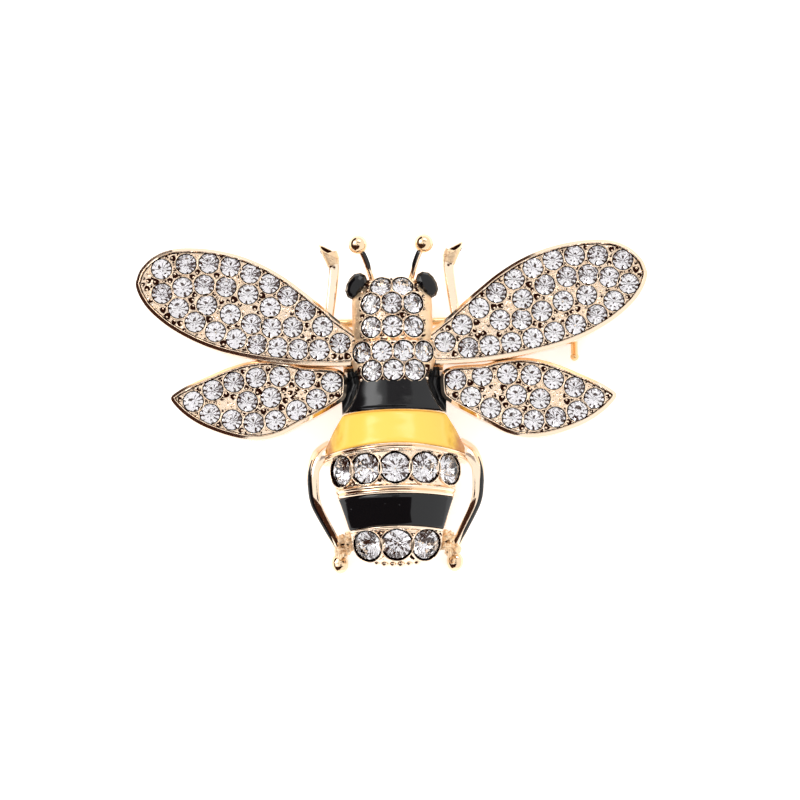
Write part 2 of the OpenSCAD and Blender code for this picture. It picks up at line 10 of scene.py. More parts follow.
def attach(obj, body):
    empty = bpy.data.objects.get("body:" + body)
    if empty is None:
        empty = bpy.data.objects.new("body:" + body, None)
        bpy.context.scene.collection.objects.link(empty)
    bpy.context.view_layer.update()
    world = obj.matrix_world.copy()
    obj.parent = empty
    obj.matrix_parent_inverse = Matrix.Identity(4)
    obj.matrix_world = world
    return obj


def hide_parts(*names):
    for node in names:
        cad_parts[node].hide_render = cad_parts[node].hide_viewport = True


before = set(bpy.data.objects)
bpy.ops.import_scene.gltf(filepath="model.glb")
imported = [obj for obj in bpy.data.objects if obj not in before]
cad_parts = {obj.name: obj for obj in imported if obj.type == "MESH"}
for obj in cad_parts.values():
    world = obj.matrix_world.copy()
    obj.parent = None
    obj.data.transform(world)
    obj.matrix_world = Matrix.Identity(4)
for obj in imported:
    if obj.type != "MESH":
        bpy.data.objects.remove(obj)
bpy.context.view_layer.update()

bl_info = {
    "name": "Bee brooch",
    "version": (1, 0, 0),
    "blender": (4, 5, 0),
    "location": "3D View > Sidebar > Brooch",
    "description": "Dresses the packed bee brooch: cast metal, set stones, enamel and its pin finding",
    "category": "Object",
}

BODY = "brooch"
METRE = 0.001
SEED = 7
SIDES = ((-1, "left"), (1, "right"))
MIRROR = Matrix.Scale(-1, 4, (1, 0, 0))
AIM = Vector((0.58, 0.35, 4.5))  # Where the camera looks, in millimetres
SENSOR = 36.0
BACK_MARK = "back"  # Marks the faces of a set shape that take its back finish
HOLE, HOLE_SIDES = 1.12, 24  # Radius of a drilled hole as a share of its stone's, and its sides
GRAIN_LEAST, GRAIN_MOST = 0.12, 0.3  # Radii of the cast grains, in millimetres
SIDE_TONE_FROM, SIDE_TONE_TO = 6.2, 7.7  # Millimetres off the middle over which the yellow enamel turns to its darker amber


def linear(hex_colour):
    """An sRGB hex colour as linear red, green, blue and alpha."""
    parts = [int(hex_colour[i:i + 2], 16) / 255 for i in (1, 3, 5)]
    return tuple(c / 12.92 if c <= 0.04045 else ((c + 0.055) / 1.055) ** 2.4 for c in parts) + (1.0,)


def distance(name, text, millimetres):
    """A length that a user may change, given in millimetres."""
    return bpy.props.FloatProperty(name=name, description=text, default=millimetres * METRE,
                                   min=0, subtype="DISTANCE", unit="LENGTH", precision=5)


def share(name, text, value, low=0.0, high=1.0):
    """A share or strength that a user may change."""
    return bpy.props.FloatProperty(name=name, description=text, default=value, min=low, max=high)


def turn(name, text, degrees):
    """An angle that a user may change, given in degrees."""
    return bpy.props.FloatProperty(name=name, description=text, default=math.radians(degrees),
                                   subtype="ANGLE", unit="ROTATION")


def colour(name, text, hex_colour):
    """A colour that a user may change, given as an sRGB hex colour."""
    return bpy.props.FloatVectorProperty(name=name, description=text, subtype="COLOR", size=4,
                                         min=0, max=1, default=linear(hex_colour))


class BroochMetal(bpy.types.PropertyGroup):
    """Gold plate over the casting and over the pin finding"""
    plate: colour("Gold plate", "Pale warm gold plate on the casting", "#FCE8D3")
    wire: colour("Wire plate", "Deeper gold plate on the pin, rivet and catch", "#F2CE9C")
    # This colour is the gold plate darkened, painted shade on the feet, the balls and the satin sides
    shaded_plate: colour("Shaded plate", "Gold plate on the feet, balls and satin sides", "#F7DDBC")
    # This dark brown is painted shade: inside the seats, in the pits between the stones, on the foot of the
    # wing rims, in the foreleg hollows and in the hind legs' dark spots
    seat: colour("Seat", "Dark brown painted as shade in the seats, pits and hollows", "#2A120C")
    polish: share("Polish", "Roughness of the polished rims, legs and ridges", 0.09)
    cast_skin: share("Cast skin", "Roughness of the cast floor between the stones", 0.14)
    satin: share("Satin", "Roughness of the unpolished sides of the head, lumps and flares", 0.42)


class BroochStones(bpy.types.PropertyGroup):
    """Round foil-backed stones and the black eyes"""
    glass: colour("Crystal", "Clear glass of the round stones", "#FFFFFF")
    foil: colour("Foil", "Silvered back of the round stones", "#FCFAFD")
    black: colour("Black stone", "Black glass of the eyes", "#08080A")
    lean: turn("Lean", "Most that a stone leans in its seat", 6.5)
    edge: share("Edge", "Share of the seat's radius that the stone fills", 0.962)
    growth: share("Growth", "Most that a stone outgrows its seat's solid", 1.07, 1.0, 1.1)
    small_facets: bpy.props.IntProperty(name="Small stone facets", default=12, min=8, max=32,
                                        description="Facets round the back of a small stone")
    large_facets: bpy.props.IntProperty(name="Large stone facets", default=16, min=8, max=48,
                                        description="Facets round the back of a large stone")
    eye_length: distance("Eye length", "Length of an eye stone", 2.58)
    eye_width: distance("Eye width", "Width of an eye stone", 1.72)


class BroochEnamel(bpy.types.PropertyGroup):
    """Fired enamel of the bands"""
    yellow: colour("Yellow enamel", "Yellow enamel over the shoulders", "#F0C556")
    # The amber is the colour that the yellow enamel turns to towards the ends of the shoulders
    amber: colour("Yellow enamel at the sides", "Darker amber that the yellow enamel turns to towards the ends of the shoulders", "#B56C0C")
    black: colour("Black enamel", "Black enamel of the thorax and belly", "#0B0B0D")
    gloss: share("Gloss", "Roughness of the belly's black enamel", 0.075)
    soft: share("Soft gloss", "Roughness of the thorax's and the yellow enamel", 0.17)
    meniscus: distance("Meniscus", "Drop of the enamel's surface at its edges", 0.14)
    roll: distance("Roll", "Width of the drop at the edges", 0.42)


class BroochBody(bpy.types.PropertyGroup):
    """Hollow body"""
    length: distance("Body length", "From the front of the head to the tail", 28.2)
    width: distance("Body width", "Across the yellow shoulders", 14.6)
    dome: distance("Dome radius", "Radius of the domed back at its fullest ring", 7.4)
    axis: distance("Dome axis", "Height of the dome's axis above the floor", 2.3)
    rim: distance("Back rim", "Height of the open back rim above the floor", 3.2)
    wall: distance("Wall", "Wall of the hollow body", 1.8)
    ridge: distance("Ridge", "Height of the gold ridges beside the bands", 0.09)


class BroochWings(bpy.types.PropertyGroup):
    """Four wings"""
    fore_length: distance("Forewing length", "From root to tip", 22)
    fore_width: distance("Forewing width", "Across the forewing", 9.5)
    hind_length: distance("Hindwing length", "From root to tip", 17.1)
    hind_width: distance("Hindwing width", "Across the hindwing", 7.8)
    plate: distance("Wing thickness", "Thickness of a wing at its rim", 1.45)
    rim_width: distance("Rim width", "Width of the raised rim", 0.42)
    rim_height: distance("Rim height", "Height of the rim above the floor", 0.25)
    fore_sweep: turn("Forewing sweep", "Rise of the forewings towards the head", 18)
    drop_left: turn("Left hindwing drop", "Drop of the left hindwing towards the tail", 3)
    drop_right: turn("Right hindwing drop", "Drop of the right hindwing towards the tail", 5)
    fore_z: distance("Forewing height", "Underside of the forewings above the floor", 4.6)
    hind_z: distance("Hindwing height", "Underside of the hindwings above the floor", 3.4)


class BroochLimbs(bpy.types.PropertyGroup):
    """Legs and antennae"""
    foreleg: distance("Foreleg thickness", "Thickness of the forelegs", 0.95)
    hindleg: distance("Hind leg thickness", "Thickness of the hind legs above the knee", 1.25)
    antenna: distance("Antenna thickness", "Thickness of the antennae", 0.56)
    ball: distance("Antenna ball", "Diameter of the antennae's end balls", 1.86)
    foot: distance("Hind foot", "Width of the hind feet", 1.68)


class BroochFinding(bpy.types.PropertyGroup):
    """Pin finding on the back"""
    span: distance("Pin span", "From the hinge rivet to the catch", 34.4)
    height: distance("Pin height", "Height of the pin above the floor", 1.4)
    along: distance("Pin place", "Place of the pin forward of the middle", 8.5)
    wire: distance("Pin wire", "Diameter of the pin wire", 0.8)
    ear: distance("Ear thickness", "Thickness of a hinge ear or catch cheek", 0.6)
    eye: distance("Pin eye", "Width of the pin's eye between the ears", 1.3)
    sleeve: distance("Sleeve", "Length of the catch's turning sleeve", 2.6)
    edge: distance("Edge", "Rounding of the finding's edges", 0.07)


class BroochStage(bpy.types.PropertyGroup):
    """Floor, lights and camera"""
    floor: colour("Floor", "Matt white acrylic sheet, lit from below", "#F7F7F7")
    lit: share("Lit sheet", "Light that the white sheet gives by itself", 0.42)
    tent: share("Tent", "Brightness of the white tent round the set", 1.14, high=3.0)
    tilt: turn("Camera elevation", "Camera above the horizon, on the tail side", 82)
    roll: turn("Camera roll", "Turn of the picture", 1.2)
    lens: bpy.props.FloatProperty(name="Lens", description="Focal length in millimetres", default=150)
    across: distance("Field", "Width of the picture at the brooch", 77.7)


class BroochSettings(bpy.types.PropertyGroup):
    """All sizes and colours of the brooch"""
    metal: bpy.props.PointerProperty(type=BroochMetal)
    stones: bpy.props.PointerProperty(type=BroochStones)
    enamel: bpy.props.PointerProperty(type=BroochEnamel)
    body: bpy.props.PointerProperty(type=BroochBody)
    wings: bpy.props.PointerProperty(type=BroochWings)
    limbs: bpy.props.PointerProperty(type=BroochLimbs)
    finding: bpy.props.PointerProperty(type=BroochFinding)
    stage: bpy.props.PointerProperty(type=BroochStage)


def settings():
    """The brooch's sizes and colours in this scene."""
    return bpy.context.scene.bee_brooch


def mm(value):
    """A property's length in millimetres."""
    return value / METRE


# Materials

def shader_node(tree, kind, inputs=None, **props):
    """Adds a node, sets its properties, and sets or links its inputs."""
    node = tree.nodes.new(kind)
    for name, value in props.items():
        setattr(node, name, value)
    for name, value in (inputs or {}).items():
        if isinstance(value, bpy.types.NodeSocket):
            tree.links.new(value, node.inputs[name])
        else:
            node.inputs[name].default_value = value
    return node


def fresh_material(name, **constants):
    """A named material with its main shader, whose constants are set on its own sockets: the material,
    its node tree, the shader, and the Object coordinates that its patterns read."""
    material = bpy.data.materials.new(name)
    material.use_nodes = True
    tree = material.node_tree
    tree.nodes.clear()
    main = shader_node(tree, "ShaderNodeBsdfPrincipled", constants)
    shader_node(tree, "ShaderNodeOutputMaterial", {"Surface": main.outputs["BSDF"]})
    where = shader_node(tree, "ShaderNodeTexCoord").outputs["Object"]
    return material, tree, main, where


def per_mm(size):
    """Texture scale, in metres of Object coordinates, for features of that size in millimetres."""
    return 1 / (size * METRE)


def gold_material(name, plate, roughness, grain, depth, pits=0.0):
    """Polished gold plate: a warm mirror, with hand polish that clouds its gloss and a cast skin. Real
    skin is finer than grain, which is drawn as coarse as it needs to show."""
    material, tree, main, where = fresh_material(
        name, **{"Metallic": 1.0, "Base Color": plate, "Roughness": roughness})
    cloud = shader_node(tree, "ShaderNodeTexNoise", {"Vector": where, "Scale": per_mm(2.2), "Detail": 4.0})
    gloss = shader_node(tree, "ShaderNodeMapRange", {
        "Value": cloud.outputs["Fac"], "From Min": 0.35, "From Max": 0.7,
        "To Min": roughness * 0.7, "To Max": roughness * 1.5})
    tree.links.new(gloss.outputs["Result"], main.inputs["Roughness"])
    tint = shader_node(tree, "ShaderNodeTexNoise", {"Vector": where, "Scale": per_mm(3.5), "Detail": 2.0})
    warm = shader_node(tree, "ShaderNodeMix", {
        "Factor": tint.outputs["Fac"], 6: plate,
        7: (plate[0] * 0.99, plate[1] * 0.9, plate[2] * 0.78, 1.0)}, data_type="RGBA")
    tree.links.new(warm.outputs[2], main.inputs["Base Color"])
    skin = shader_node(tree, "ShaderNodeTexNoise", {
        "Vector": where, "Scale": per_mm(grain), "Detail": 3.0, "Roughness": 0.6})
    last = shader_node(tree, "ShaderNodeBump", {
        "Height": skin.outputs["Fac"], "Strength": 1.0, "Distance": depth * METRE})
    if pits:
        cells = shader_node(tree, "ShaderNodeTexVoronoi", {"Vector": where, "Scale": per_mm(0.34)})
        dip = shader_node(tree, "ShaderNodeMapRange", {
            "Value": cells.outputs["Distance"], "From Min": 0.06, "From Max": 0.3,
            "To Min": 0.0, "To Max": 1.0})
        last = shader_node(tree, "ShaderNodeBump", {
            "Height": dip.outputs["Result"], "Strength": 1.0, "Distance": pits * METRE,
            "Normal": last.outputs["Normal"]})
    tree.links.new(last.outputs["Normal"], main.inputs["Normal"])
    return material


def crystal_material(stones):
    """Clear crystal: colourless, hard and brilliant, with the faintest wiping haze."""
    material, tree, main, where = fresh_material("clear crystal", **{
        "Base Color": stones.glass, "Roughness": 0.0, "IOR": 1.56, "Transmission Weight": 1.0})
    haze = shader_node(tree, "ShaderNodeTexNoise", {"Vector": where, "Scale": per_mm(0.9), "Detail": 3.0})
    gloss = shader_node(tree, "ShaderNodeMapRange", {
        "Value": haze.outputs["Fac"], "From Min": 0.5, "From Max": 0.8, "To Min": 0.0, "To Max": 0.05})
    tree.links.new(gloss.outputs["Result"], main.inputs["Roughness"])
    return material


def foil_material(stones):
    """Silvered back seen through the crystal: a bright mirror with slightly worn silver."""
    material, tree, main, where = fresh_material("silver foil", **{
        "Base Color": stones.foil, "Metallic": 1.0, "Roughness": 0.03})
    wear = shader_node(tree, "ShaderNodeTexNoise", {"Vector": where, "Scale": per_mm(0.5), "Detail": 3.0})
    tone = shader_node(tree, "ShaderNodeMapRange", {
        "Value": wear.outputs["Fac"], "From Min": 0.3, "From Max": 0.75, "To Min": 0.0, "To Max": 1.0})
    mix = shader_node(tree, "ShaderNodeMix", {
        "Factor": tone.outputs["Result"], 6: stones.foil,
        7: (0.84, 0.83, 0.82, 1.0)}, data_type="RGBA")
    tree.links.new(mix.outputs[2], main.inputs["Base Color"])
    return material


def enamel_material(name, deep, gloss, side_tone=None):
    """Fired enamel: a deep even colour under a glassy skin with a soft wave and a few dust specks. side_tone,
    if given, is the colour it turns to towards the body's sides."""
    material, tree, main, where = fresh_material(name, **{
        "Base Color": deep, "Roughness": gloss, "IOR": 1.46})
    if side_tone:
        # Towards the body's sides the colour turns from deep to side_tone, over a noisy edge
        place = shader_node(tree, "ShaderNodeSeparateXYZ", {"Vector": where})
        out = shader_node(tree, "ShaderNodeMath", {0: place.outputs["X"]}, operation="ABSOLUTE")
        cloud = shader_node(tree, "ShaderNodeTexNoise", {
            "Vector": where, "Scale": per_mm(1.4), "Detail": 3.0})
        push = shader_node(tree, "ShaderNodeMath", {
            0: cloud.outputs["Fac"], 1: 2.4 * METRE, 2: out.outputs["Value"]}, operation="MULTIPLY_ADD")
        edge = shader_node(tree, "ShaderNodeMapRange", {
            "Value": push.outputs["Value"], "From Min": SIDE_TONE_FROM * METRE, "From Max": SIDE_TONE_TO * METRE,
            "To Min": 0.0, "To Max": 1.0}, interpolation_type="SMOOTHSTEP")
        mix = shader_node(tree, "ShaderNodeMix", {
            "Factor": edge.outputs["Result"], 6: deep, 7: side_tone}, data_type="RGBA")
        tree.links.new(mix.outputs[2], main.inputs["Base Color"])
    wave = shader_node(tree, "ShaderNodeTexNoise", {"Vector": where, "Scale": per_mm(2.6), "Detail": 1.0})
    swell = shader_node(tree, "ShaderNodeBump", {
        "Height": wave.outputs["Fac"], "Strength": 1.0, "Distance": 0.045 * METRE})
    dust = shader_node(tree, "ShaderNodeTexVoronoi", {"Vector": where, "Scale": per_mm(0.9)})
    speck = shader_node(tree, "ShaderNodeMapRange", {
        "Value": dust.outputs["Distance"], "From Min": 0.03, "From Max": 0.07,
        "To Min": 1.0, "To Max": 0.0})
    grit = shader_node(tree, "ShaderNodeBump", {
        "Height": speck.outputs["Result"], "Strength": 1.0, "Distance": 0.02 * METRE,
        "Normal": swell.outputs["Normal"]})
    tree.links.new(grit.outputs["Normal"], main.inputs["Normal"])
    return material


def black_glass_material(stones):
    """Black cut glass: opaque, very glossy, with faint polishing marks."""
    material, tree, main, where = fresh_material("black glass", **{
        "Base Color": stones.black, "Roughness": 0.04, "IOR": 1.4})
    marks = shader_node(tree, "ShaderNodeTexNoise", {"Vector": where, "Scale": per_mm(0.4), "Detail": 4.0})
    gloss = shader_node(tree, "ShaderNodeMapRange", {
        "Value": marks.outputs["Fac"], "From Min": 0.4, "From Max": 0.8, "To Min": 0.02, "To Max": 0.12})
    tree.links.new(gloss.outputs["Result"], main.inputs["Roughness"])
    return material


MATERIALS = {}


def finish_of(name):
    """The brooch's shared materials, made once."""
    if not MATERIALS:
        metal, stones, enamel = settings().metal, settings().stones, settings().enamel
        plate, shaded_plate = metal.plate[:], metal.shaded_plate[:]
        black, yellow, amber = enamel.black[:], enamel.yellow[:], enamel.amber[:]
        MATERIALS.update({
            "polished": gold_material("polished gold plate", plate, metal.polish, 0.35, 0.004),
            "cast": gold_material("cast gold plate", plate, metal.cast_skin, 0.22, 0.02, 0.03),
            # The satin finish and the next one take the darker plate colour, which paints shade; the satin
            # roughness is the finish's own
            "satin": gold_material("satin gold plate in painted shade", shaded_plate, metal.satin, 0.3, 0.06, 0.07),
            "shaded_plate": gold_material("gold knobs in painted shade", shaded_plate, metal.polish, 0.25, 0.003),
            "wire": gold_material("gold plated wire", metal.wire[:], metal.polish, 0.25, 0.003),
            # The dark seat colour, painted shade in the seats, pits, rim feet and hollows
            "seat": gold_material("dull seat metal", metal.seat[:], 0.45, 0.15, 0.01),
            "crystal": crystal_material(stones),
            "foil": foil_material(stones),
            "eye": black_glass_material(stones),
            "yellow": enamel_material("yellow enamel", yellow, enamel.soft, amber),
            "black": enamel_material("black enamel", black, enamel.gloss),
            "thorax": enamel_material("soft black enamel", black, enamel.soft)})
    return MATERIALS[name]


# Mesh helpers: all shapes are worked out in millimetres

def linked(name, data):
    """A new object in the scene."""
    obj = bpy.data.objects.new(name, data)
    bpy.context.scene.collection.objects.link(obj)
    return obj


def smoothed(mesh, angle):
    """Smooth shading, with edges that turn by more than angle, in degrees, kept crisp."""
    mesh.polygons.foreach_set("use_smooth", [True] * len(mesh.polygons))
    mesh.set_sharp_from_angle(angle=math.radians(angle))


def make_object(name, verts, faces, smooth=True, angle=40):
    """A mesh object, in metres, from points in millimetres."""
    mesh = bpy.data.meshes.new(name)
    mesh.from_pydata([(v[0] * METRE, v[1] * METRE, v[2] * METRE) for v in verts], [], faces)
    mesh.validate()
    if smooth:
        smoothed(mesh, angle)
    return linked(name, mesh)


def outward(obj, merge=0.0):
    """Points every face away from the inside of its shell, after points closer than merge are merged."""
    bm = bmesh.new()
    bm.from_mesh(obj.data)
    if merge:
        bmesh.ops.remove_doubles(bm, verts=bm.verts, dist=merge)
    bmesh.ops.recalc_face_normals(bm, faces=bm.faces)
    bm.to_mesh(obj.data)
    bm.free()
    return obj


def settle(obj, material, nodes):
    """Gives a finished piece its material, the body it rides on and the nodes it replaces."""
    if material:
        obj.data.materials.clear()
        obj.data.materials.append(finish_of(material))
    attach(obj, BODY)
    if nodes:
        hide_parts(*nodes)


def settle_cast(obj, material=None):
    """Settles a piece that stands in for part of the casting."""
    settle(obj, material, ["casting"])


def paint(obj, pick, *names):
    """Gives each face one of the named finishes: pick(face) is its place among the names."""
    for name in names:
        obj.data.materials.append(finish_of(name))
    for polygon in obj.data.polygons:
        polygon.material_index = pick(polygon)


def grid_faces(rows, columns, first=0, closed=False):
    """Faces of a grid of points, row by row; closed joins its last column to its first."""
    across = columns if closed else columns - 1
    return [(first + r * columns + c, first + r * columns + (c + 1) % columns,
             first + (r + 1) * columns + (c + 1) % columns, first + (r + 1) * columns + c)
            for r in range(rows - 1) for c in range(across)]


def tube_faces(rows, columns):
    """Faces of a closed tube with a cap on both ends."""
    return (grid_faces(rows, columns, closed=True)
            + [tuple(range(columns - 1, -1, -1)), tuple(range((rows - 1) * columns, rows * columns))])


def circle(count, radius=1.0, shift=0.0):
    """Points round a circle; shift turns them by that share of a step."""
    return [(radius * math.cos(2 * math.pi * (i + shift) / count),
             radius * math.sin(2 * math.pi * (i + shift) / count)) for i in range(count)]


def turned(profile, count):
    """Points and faces of a turned shape from (radius, height) pairs; a radius of 0 is a closing point."""
    verts, rings = [], []
    for r, z in profile:
        ring = [(0, 0, z)] if r <= 1e-9 else [(x, y, z) for x, y in circle(count, r)]
        rings.append(range(len(verts), len(verts) + len(ring)))
        verts += ring
    faces = []
    for a, b in zip(rings, rings[1:]):
        for i in range(count):
            j = (i + 1) % count
            if len(a) == 1:
                faces.append((a[0], b[j], b[i]))
            elif len(b) == 1:
                faces.append((a[i], a[j], b[0]))
            else:
                faces.append((a[i], a[j], b[j], b[i]))
    return verts, faces


def sphere(rows, columns):
    """Points and faces of a unit sphere."""
    bends = np.arange(1, rows) * math.pi / rows
    return turned([(0.0, 1.0), *((math.sin(a), math.cos(a)) for a in bends), (0.0, -1.0)], columns)


def curve_point(a, b, c, d, t):
    """A point on the smooth curve from b to c, whose neighbours are a and d."""
    return 0.5 * (2 * b + (c - a) * t + (2 * a - 5 * b + 4 * c - d) * t * t
                  + (3 * b - a - 3 * c + d) * t ** 3)


def smooth_loop(points, steps):
    """A closed smooth curve through the points."""
    p = np.array(points, float)
    a, b, c, d = (np.roll(p, s, 0) for s in (1, 0, -1, -2))
    return np.stack([curve_point(a, b, c, d, t) for t in np.arange(steps) / steps], 1).reshape(-1, 2)


def smooth_path(points, steps):
    """An open smooth curve through the points."""
    p = np.array(points, float)
    p = np.vstack([2 * p[0] - p[1], p, 2 * p[-1] - p[-2]])
    out = [curve_point(*p[i - 1:i + 3], t) for i in range(1, len(p) - 2) for t in np.arange(steps) / steps]
    return np.array(out + [p[-2]])


def inset(points, d):
    """A clockwise outline moved inwards."""
    s = np.roll(points, -1, 0) - np.roll(points, 1, 0)
    s /= np.linalg.norm(s, axis=1)[:, None]
    return points + d * np.stack([s[:, 1], -s[:, 0]], 1)


def inside(points, loop):
    """Which points lie inside a closed outline."""
    x, y = points[:, 0], points[:, 1]
    hit = np.zeros(len(points), bool)
    for (x1, y1), (x2, y2) in zip(loop, np.roll(loop, -1, 0)):
        if y1 != y2:
            hit ^= ((y1 > y) != (y2 > y)) & (x < (x2 - x1) * (y - y1) / (y2 - y1) + x1)
    return hit


def to_loop(points, loop):
    """Distance from each point to the outline's corners, which lie close together."""
    return np.sqrt(((points[:, None] - loop[None]) ** 2).sum(2)).min(1)


def plate(name, outline, holes, thick, matrix, edge):
    """A flat plate with rounded edges, cut from an outline with holes; thick runs both ways."""
    curve = bpy.data.curves.new(name, "CURVE")
    curve.dimensions = "2D"
    curve.fill_mode = "BOTH"
    curve.bevel_depth = edge * METRE
    curve.bevel_resolution = 2
    curve.extrude = (thick / 2 - edge) * METRE
    curve.offset = -edge * METRE
    for loop in [outline, *holes]:
        spline = curve.splines.new("POLY")
        spline.points.add(len(loop) - 1)
        for point, (x, y) in zip(spline.points, loop):
            point.co = (x * METRE, y * METRE, 0, 1)
        spline.use_cyclic_u = True
    maker = linked(name, curve)
    bpy.context.view_layer.update()
    mesh = bpy.data.meshes.new_from_object(maker.evaluated_get(bpy.context.evaluated_depsgraph_get()))
    bpy.data.objects.remove(maker)
    bpy.data.curves.remove(curve)
    mesh.transform(matrix)
    obj = outward(linked(name, mesh), 1e-7)
    smoothed(mesh, 50)
    return obj


def moved(x, y, z):
    """A move given in millimetres."""
    return Matrix.Translation((x * METRE, y * METRE, z * METRE))


def join(name, objects):
    """One object from several, in the order given."""
    bm = bmesh.new()
    for obj in objects:
        bm.from_mesh(obj.data)
    mesh = bpy.data.meshes.new(name)
    bm.to_mesh(mesh)
    bm.free()
    for obj in objects:
        remove_shape(obj)
    return linked(name, mesh)


# Seats read from the frame, so that every stone lies where its solid does

def seats_of(*names):
    """Centre, outward axis and radius, in millimetres, of every stone in these nodes."""
    found = []
    for name in names:
        bm = bmesh.new()
        bm.from_mesh(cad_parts[name].data)
        bmesh.ops.remove_doubles(bm, verts=bm.verts, dist=2e-6)
        left = set(bm.verts)
        while left:
            reach, part = [left.pop()], []
            while reach:
                v = reach.pop()
                part.append(v)
                for e in v.link_edges:
                    w = e.other_vert(v)
                    if w in left:
                        left.remove(w)
                        reach.append(w)
            # The stone's axis is the direction in which its points lie closest together
            p = np.array([v.co[:] for v in part]) / METRE
            middle = p.mean(0)
            vectors = np.linalg.eigh(np.cov((p - middle).T))[1]
            axis = vectors[:, 0] * (1 if vectors[2, 0] > 0 else -1)
            high = (p - middle) @ axis
            wide = np.linalg.norm((p - middle) - np.outer(high, axis), axis=1)
            girdle = wide > wide.max() * 0.9
            centre = p[girdle].mean(0)
            centre = centre + axis * (high[girdle].max() - (centre - middle) @ axis)
            off = p[girdle] - centre
            radius = np.linalg.norm(off - np.outer(off @ axis, axis), axis=1).max()
            found.append((centre, axis, radius))
        bm.free()
    found.sort(key=lambda f: (round(f[0][1], 2), round(f[0][0], 2)))
    return found


def grown(seats):
    """The seats with their stones grown until neighbours nearly touch."""
    places = np.array([centre for centre, _, _ in seats])
    most = settings().stones.growth
    out = []
    for k, (centre, axis, radius) in enumerate(seats):
        far = np.delete(np.linalg.norm(places - centre, axis=1), k).min()
        out.append((centre, axis, min(radius * most, max(radius, far / 2 - 0.005))))
    return out


# Geometry Nodes: a shape set on every point, along its axis

def setting_tree():
    """The node group that sets a shape on each point of a mesh."""
    tree = bpy.data.node_groups.get("Set on seats")
    if tree:
        return tree
    tree = bpy.data.node_groups.new("Set on seats", "GeometryNodeTree")
    for name, kind, value in (
            ("Geometry", "Geometry", None), ("Shape", "Object", None), ("Spin", "Float", 2 * math.pi),
            ("Lean", "Float", 0.0), ("Seed", "Int", SEED), ("Main finish", "Material", None),
            ("Back finish", "Material", None)):
        made = tree.interface.new_socket(name, in_out="INPUT", socket_type="NodeSocket" + kind)
        if value is not None:
            made.default_value = value
    tree.interface.new_socket("Geometry", in_out="OUTPUT", socket_type="NodeSocketGeometry")
    given = shader_node(tree, "NodeGroupInput").outputs
    axis = shader_node(tree, "GeometryNodeInputNamedAttribute", {"Name": "axis"}, data_type="FLOAT_VECTOR")
    size = shader_node(tree, "GeometryNodeInputNamedAttribute", {"Name": "size"}, data_type="FLOAT")
    stand = shader_node(tree, "FunctionNodeAlignRotationToVector",
                        {"Vector": axis.outputs["Attribute"]}, axis="Z")
    spin = shader_node(tree, "FunctionNodeRandomValue", {"Seed": given["Seed"]}, data_type="FLOAT")
    by = shader_node(tree, "ShaderNodeMath", {0: spin.outputs[1], 1: given["Spin"]}, operation="MULTIPLY")
    about = shader_node(tree, "FunctionNodeAxisAngleToRotation", {
        "Axis": (0, 0, 1), "Angle": by.outputs["Value"]})
    spun = shader_node(tree, "FunctionNodeRotateRotation", {
        "Rotation": stand.outputs["Rotation"], "Rotate By": about.outputs["Rotation"]},
        rotation_space="LOCAL")
    other = shader_node(tree, "ShaderNodeMath", {0: given["Seed"], 1: 31.0}, operation="ADD")
    tip = shader_node(tree, "FunctionNodeRandomValue", {"Seed": other.outputs["Value"]}, data_type="FLOAT")
    amount = shader_node(tree, "ShaderNodeMath", {0: tip.outputs[1], 1: given["Lean"]}, operation="MULTIPLY")
    sideways = shader_node(tree, "FunctionNodeAxisAngleToRotation", {
        "Axis": (1, 0, 0), "Angle": amount.outputs["Value"]})
    placed = shader_node(tree, "FunctionNodeRotateRotation", {
        "Rotation": spun.outputs["Rotation"], "Rotate By": sideways.outputs["Rotation"]},
        rotation_space="LOCAL")
    shape = shader_node(tree, "GeometryNodeObjectInfo", {"Object": given["Shape"], "As Instance": True},
                        transform_space="ORIGINAL")
    on = shader_node(tree, "GeometryNodeInstanceOnPoints", {
        "Points": given["Geometry"], "Instance": shape.outputs["Geometry"],
        "Rotation": placed.outputs["Rotation"], "Scale": size.outputs["Attribute"]})
    real = shader_node(tree, "GeometryNodeRealizeInstances", {"Geometry": on.outputs["Instances"]})
    main = shader_node(tree, "GeometryNodeSetMaterial", {
        "Geometry": real.outputs["Geometry"], "Material": given["Main finish"]})
    back = shader_node(tree, "GeometryNodeInputNamedAttribute", {"Name": BACK_MARK}, data_type="BOOLEAN")
    both = shader_node(tree, "GeometryNodeSetMaterial", {
        "Geometry": main.outputs["Geometry"], "Material": given["Back finish"],
        "Selection": back.outputs["Attribute"]})
    shader_node(tree, "NodeGroupOutput", {"Geometry": both.outputs["Geometry"]})
    return tree


